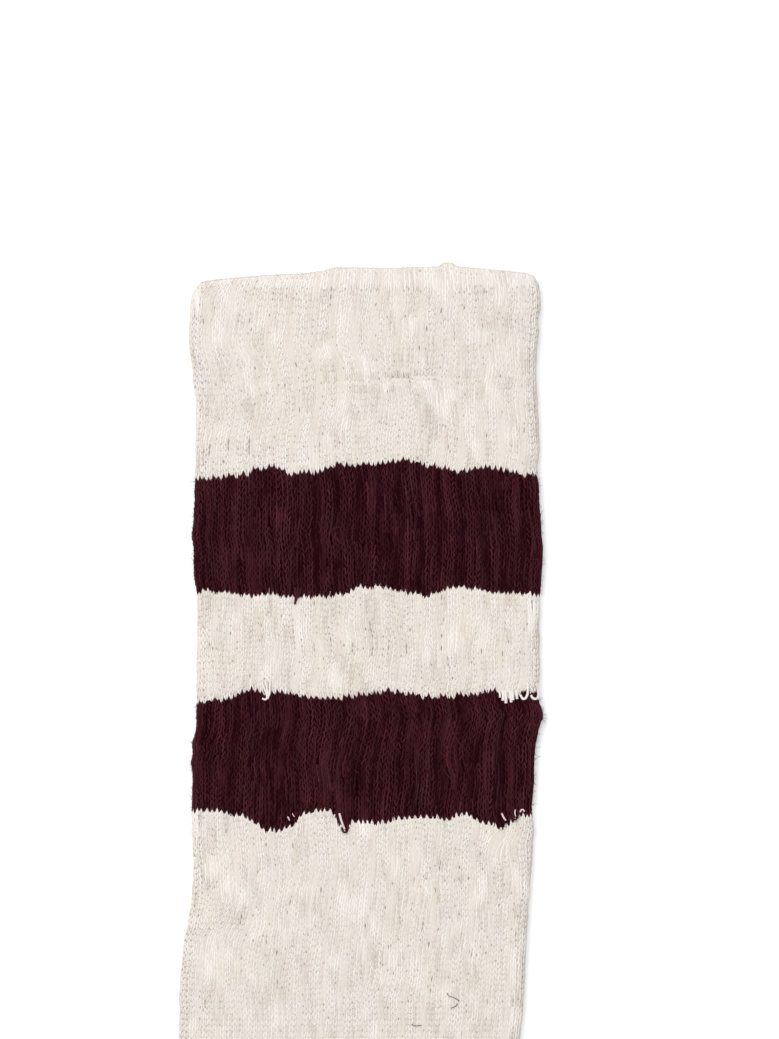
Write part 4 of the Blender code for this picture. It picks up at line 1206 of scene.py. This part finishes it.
def elastic_threads(name, material, count, seed):
    """Fine elastic that shows between columns of the stripes, a few courses at a time."""
    draw = np.random.default_rng(seed)
    curve = new_curve(name, 0.045, 0)
    for _ in range(count):
        stripe_start, stripe_end = STRIPES[draw.integers(len(STRIPES))]
        wale = draw.integers(2, WALES // 2 - 2) + 0.5 * draw.integers(2) + 0.05 * draw.normal()
        start = draw.uniform(stripe_start + 1.0, stripe_end - 6.0)
        end = min(start + draw.gamma(3.0, 2.0), stripe_end - 1.0)
        drops = np.linspace(start, end, max(4, round((end - start) / COURSE)))
        out = np.where((drops == start) | (drops == end), -0.3, 0.02)
        line, _ = on_knit(np.full(len(drops), wale), drops, out)
        spline = curve.splines.new("POLY")
        spline.points.add(len(drops) - 1)
        for point, place in zip(spline.points, to_row_frame(line)):
            point.co = (*place, 1)
    return settle_curve(curve, name, material)


def loose_yarn(name, places, thickness, material):
    """A loose length of yarn through places given across, down the leg and out of the cloth."""
    x, drop, out = np.array(places).T
    line, _ = on_knit(*find_stitch(x, drop), out)
    curve = new_curve(name, thickness, 1)
    curve.resolution_u = 5
    spline = curve.splines.new("BEZIER")
    spline.bezier_points.add(len(line) - 1)
    for point, place in zip(spline.bezier_points, to_row_frame(line)):
        point.co = place
        point.handle_left_type = point.handle_right_type = "AUTO"
    thing = settle_curve(curve, name, material)
    tone = thing.data.attributes.new("tone", "FLOAT", "POINT")
    tone.data.foreach_set("value", np.full(len(thing.data.vertices), 0.5, dtype=np.float32))
    return thing


# =============================================================== the cloth under the stitches
def make_cloth(yarns):
    """The thin shell of the whole sock: outer skin, rim and inner skin, closed at the toe."""
    wall_turn = math.pi * 1.1
    inside_end, backing_start = SOCK_LENGTH - 2.2, TURNED_IN + 3
    knit_start, knit_end, toe_start = RIM_START + 2, COARSE_END - 2, SOCK_LENGTH - TOE_ROUND
    inner = np.arange(inside_end, backing_start, -8.0)
    inner = np.concatenate((inner, np.arange(backing_start, RIM_START, -1.5)))
    inner_levels = RIM_START - wall_turn - (inner - RIM_START)
    rim = RIM_START - wall_turn * np.linspace(1, 0, 6)[1:]
    bounds = (knit_start, *BORDER_WAVES, knit_end)
    leg = np.concatenate([np.linspace(start, end, round((end - start) / LEG_RINGS), endpoint=False)
                          for start, end in zip(bounds, bounds[1:])])
    foot = np.arange(knit_end, toe_start, FOOT_RINGS)
    toe = toe_start + TOE_ROUND * np.array((0, 0.3, 0.55, 0.75, 0.88, 0.96))
    levels = np.concatenate((inner_levels, rim, leg, foot, toe))
    wale, drop = np.meshgrid(np.arange(0, WALES, 1.0), levels)
    inset = np.interp(drop, (COARSE_END - 1, COARSE_END + 3), (-LOOP_HEIGHT, -0.05))
    level, _ = on_knit(wale, drop)
    on_leg = np.clip(COARSE_END - drop, 0, 1) * (drop > RIM_START)
    inset = inset + 0.12 * slub_strength(level[..., 0], -level[..., 1], wale < WALES / 2) * on_leg
    places, _ = on_knit(wale, drop, np.where(in_stripe(drop), -STRIPE_LOOP_HEIGHT, inset))
    tips = np.stack((places[0].mean(axis=0), places[-1].mean(axis=0)))
    mesh = round_mesh("sock_cloth", to_row_frame(places), to_row_frame(tips))
    # the two backing materials paint the shade between stitches; the third is the fine knit of the foot
    for name in ("back_shade", "dark_back_shade", "foot"):
        mesh.materials.append(yarns[name])
    between = (levels[:-1] + levels[1:]) / 2
    kinds = np.where(between > COARSE_END, 2, in_stripe(between).astype(int))
    fans = np.repeat((0, 2), WALES)
    slots = np.concatenate((np.repeat(kinds, WALES), fans)).astype(np.int32)
    mesh.polygons.foreach_set("material_index", slots)
    add_cloth_map(mesh, levels)
    return new_object("sock_cloth", mesh)


def add_cloth_map(mesh, levels):
    """A UV map with one turn round the tube as 1 across and the sock's length as 1 along."""
    corners = np.zeros(len(mesh.loops), dtype=np.int32)
    mesh.loops.foreach_get("vertex_index", corners)
    first_tip = len(levels) * WALES
    tip = corners >= first_tip
    ring = np.minimum(corners // WALES, len(levels) - 1)
    across = np.where(tip, 0.0, corners % WALES / WALES)
    along = np.where(tip, np.where(corners == first_tip, levels[0], levels[-1]), levels[ring])
    starts, totals = (np.zeros(len(mesh.polygons), dtype=np.int32) for _ in range(2))
    mesh.polygons.foreach_get("loop_start", starts)
    mesh.polygons.foreach_get("loop_total", totals)
    for corner in range(4):
        own = (starts + corner)[totals > corner]
        first = starts[totals > corner]
        wraps = (across[own] < 0.25) & (np.maximum(across[first], across[first + 1]) > 0.9)
        across[own[wraps]] += 1.0
    uv = mesh.uv_layers.new(name="UVMap")
    uv.data.foreach_set("uv", np.stack((across, along / SOCK_LENGTH), axis=1).astype(np.float32).ravel())


# =============================================================== stage
def make_floor():
    """A wide pale floor that keeps the shadow and is white to the camera."""
    size = 6.0
    corners = [(-size, -size), (size, -size), (size, size), (-size, size)]
    mesh = bpy.data.meshes.new("floor")
    mesh.from_pydata([(x, y, -0.2 * MM) for x, y in corners], [], [(0, 1, 2, 3)])
    material = bpy.data.materials.new("white_floor")
    material.use_nodes = True
    tree = material.node_tree
    seen = add_node(tree, "ShaderNodeLightPath").outputs["Is Camera Ray"]
    fill(tree, tree.nodes["Principled BSDF"],
         {"Base Color": (0.86, 0.86, 0.86), "Roughness": 1.0, "Specular IOR Level": 0.0,
          "Emission Color": (1, 1, 1), "Emission Strength": math_node(tree, "MULTIPLY", seen, 0.28)})
    mesh.materials.append(material)
    new_object("floor", mesh)


def make_lights():
    """Even light all round, and a soft box above the cuff on the front edge's side."""
    world = bpy.data.worlds.new("studio")
    bpy.context.scene.world = world
    world.use_nodes = True
    fill(world.node_tree, world.node_tree.nodes["Background"], {"Color": (1, 1, 1), "Strength": 0.77})
    lamp = bpy.data.lights.new("softbox", "AREA")
    lamp.shape = "RECTANGLE"
    lamp.size = 1.8
    lamp.size_y = 1.4
    lamp.energy = 25
    softbox = new_object("softbox", lamp)
    softbox.location = (-0.7, 0.7, 1.7)
    softbox.rotation_euler = (-softbox.location).to_track_quat("-Z", "Y").to_euler()


def make_camera():
    """Straight above, framing the cuff and the leg."""
    view_height = 287.5 * MM
    distance = 1.6
    camera = bpy.data.cameras.new("camera")
    camera.sensor_fit = "VERTICAL"
    camera.sensor_height = 32.0
    camera.lens = camera.sensor_height * distance / view_height
    camera.clip_end = 20
    centre = to_row_frame(np.array((6.8, -68.5, 0.0)))
    eye = new_object("camera", camera)
    eye.location = (centre[0], centre[1], distance)
    bpy.context.scene.camera = eye


# =============================================================== the whole sock
def make_knit(yarns):
    """The coarse leg's stitches, band by band, and the painted-shade hollows between them."""
    half = WALES // 2
    names = ("welt", "upper_leg", "first_stripe", "middle_band", "second_stripe", "lower_leg")
    bounds = (-TURNED_IN, HEM, *BORDER_WAVES, COARSE_END)
    pieces = []
    for number, (name, start, end) in enumerate(zip(names, bounds, bounds[1:])):
        yarn = yarns["burgundy" if "stripe" in name else "cream"]
        pieces.append(knit_patch(name + "_upper", (0, half), (start, end), yarn, 4, 3, 100 + number))
        pieces.append(knit_patch(name + "_under", (half, WALES), (start, end), yarn, 3, 2, 200 + number))
    pieces.append(knit_hollow_shade("knit_hollow_shade", yarns["hollow"], False))
    pieces.append(knit_hollow_shade("stripe_hollow_shade", yarns["dark_hollow_shade"], True))
    return pieces


def make_seams(yarns):
    """The heel's gores, the toe's gores and its linked seam, pressed flat underneath."""
    toe_seam, toe_tip = SOCK_LENGTH - TOE_SEAM, SOCK_LENGTH - TOE_ROUND
    heel = ((29.0, 287.0), (38.0, 290.5), (48.0, 295.0), (58.0, 300.5), (63.0, 304.0))
    gore = ((35.0, toe_seam), (35.5, toe_seam + 9.0), (36.0, toe_tip))
    seam = ((1.0, toe_seam - 1.0), (18.0, toe_seam), (35.0, toe_seam))
    pieces = []
    for side, start, flip, lift, ridge, deep in (("upper", 0, 1, 0.02, 0.10, 0.34),
                                                 ("under", WALES, -1, -0.20, -0.22, 0.20)):
        for name, path, spacing, out, size, seed in (
                ("heel_gore_", heel, 0.9, lift, (0.20, 0.26, 0.62), 71),
                ("toe_gore_", gore, 0.9, lift, (0.20, 0.26, 0.62), 72),
                ("toe_seam_", seam, 0.8, ridge, (deep, 0.34, 0.70), 73)):
            path = [(start + flip * wale, drop) for wale, drop in path]
            pieces.append(seam_run(name + side, yarns["cream"], path, spacing, out, size, seed))
    return pieces


def make_loose_ends(yarns):
    """Pulled loops, stray hairs and down."""
    pieces = [loose_yarn(snag.name, snag.places, snag.thickness, yarns[snag.yarn]) for snag in SNAGS]
    pieces += [loose_yarn(hair.name, hair.places, 0.095, yarns["hair"]) for hair in HAIRS]
    pieces.append(elastic_threads("elastic_threads", yarns["burgundy_down"], 80, 85))
    for name, yarn, count, striped, seed, edges in (
            ("cream_down", "cream", 1500, False, 81, False),
            ("burgundy_stripe_down", "burgundy_down", 2200, True, 82, False),
            ("cream_edge_down", "cream", 1000, False, 83, True),
            ("burgundy_stripe_edge_down", "burgundy_down", 900, True, 84, True)):
        pieces.append(stray_fibres(name, yarns[yarn], count, striped, seed, edges))
    return pieces


def make_sock():
    """Cloth, stitches, seams and loose ends, all riding the one body."""
    yarns = make_yarns()
    cloth = make_cloth(yarns)
    pieces = make_knit(yarns) + make_seams(yarns) + make_loose_ends(yarns)
    for piece in [cloth] + pieces:
        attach(piece, "root")
    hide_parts("sock")


bpy.context.scene.view_settings.view_transform = "Standard"
make_sock()
make_floor()
make_lights()
make_camera()
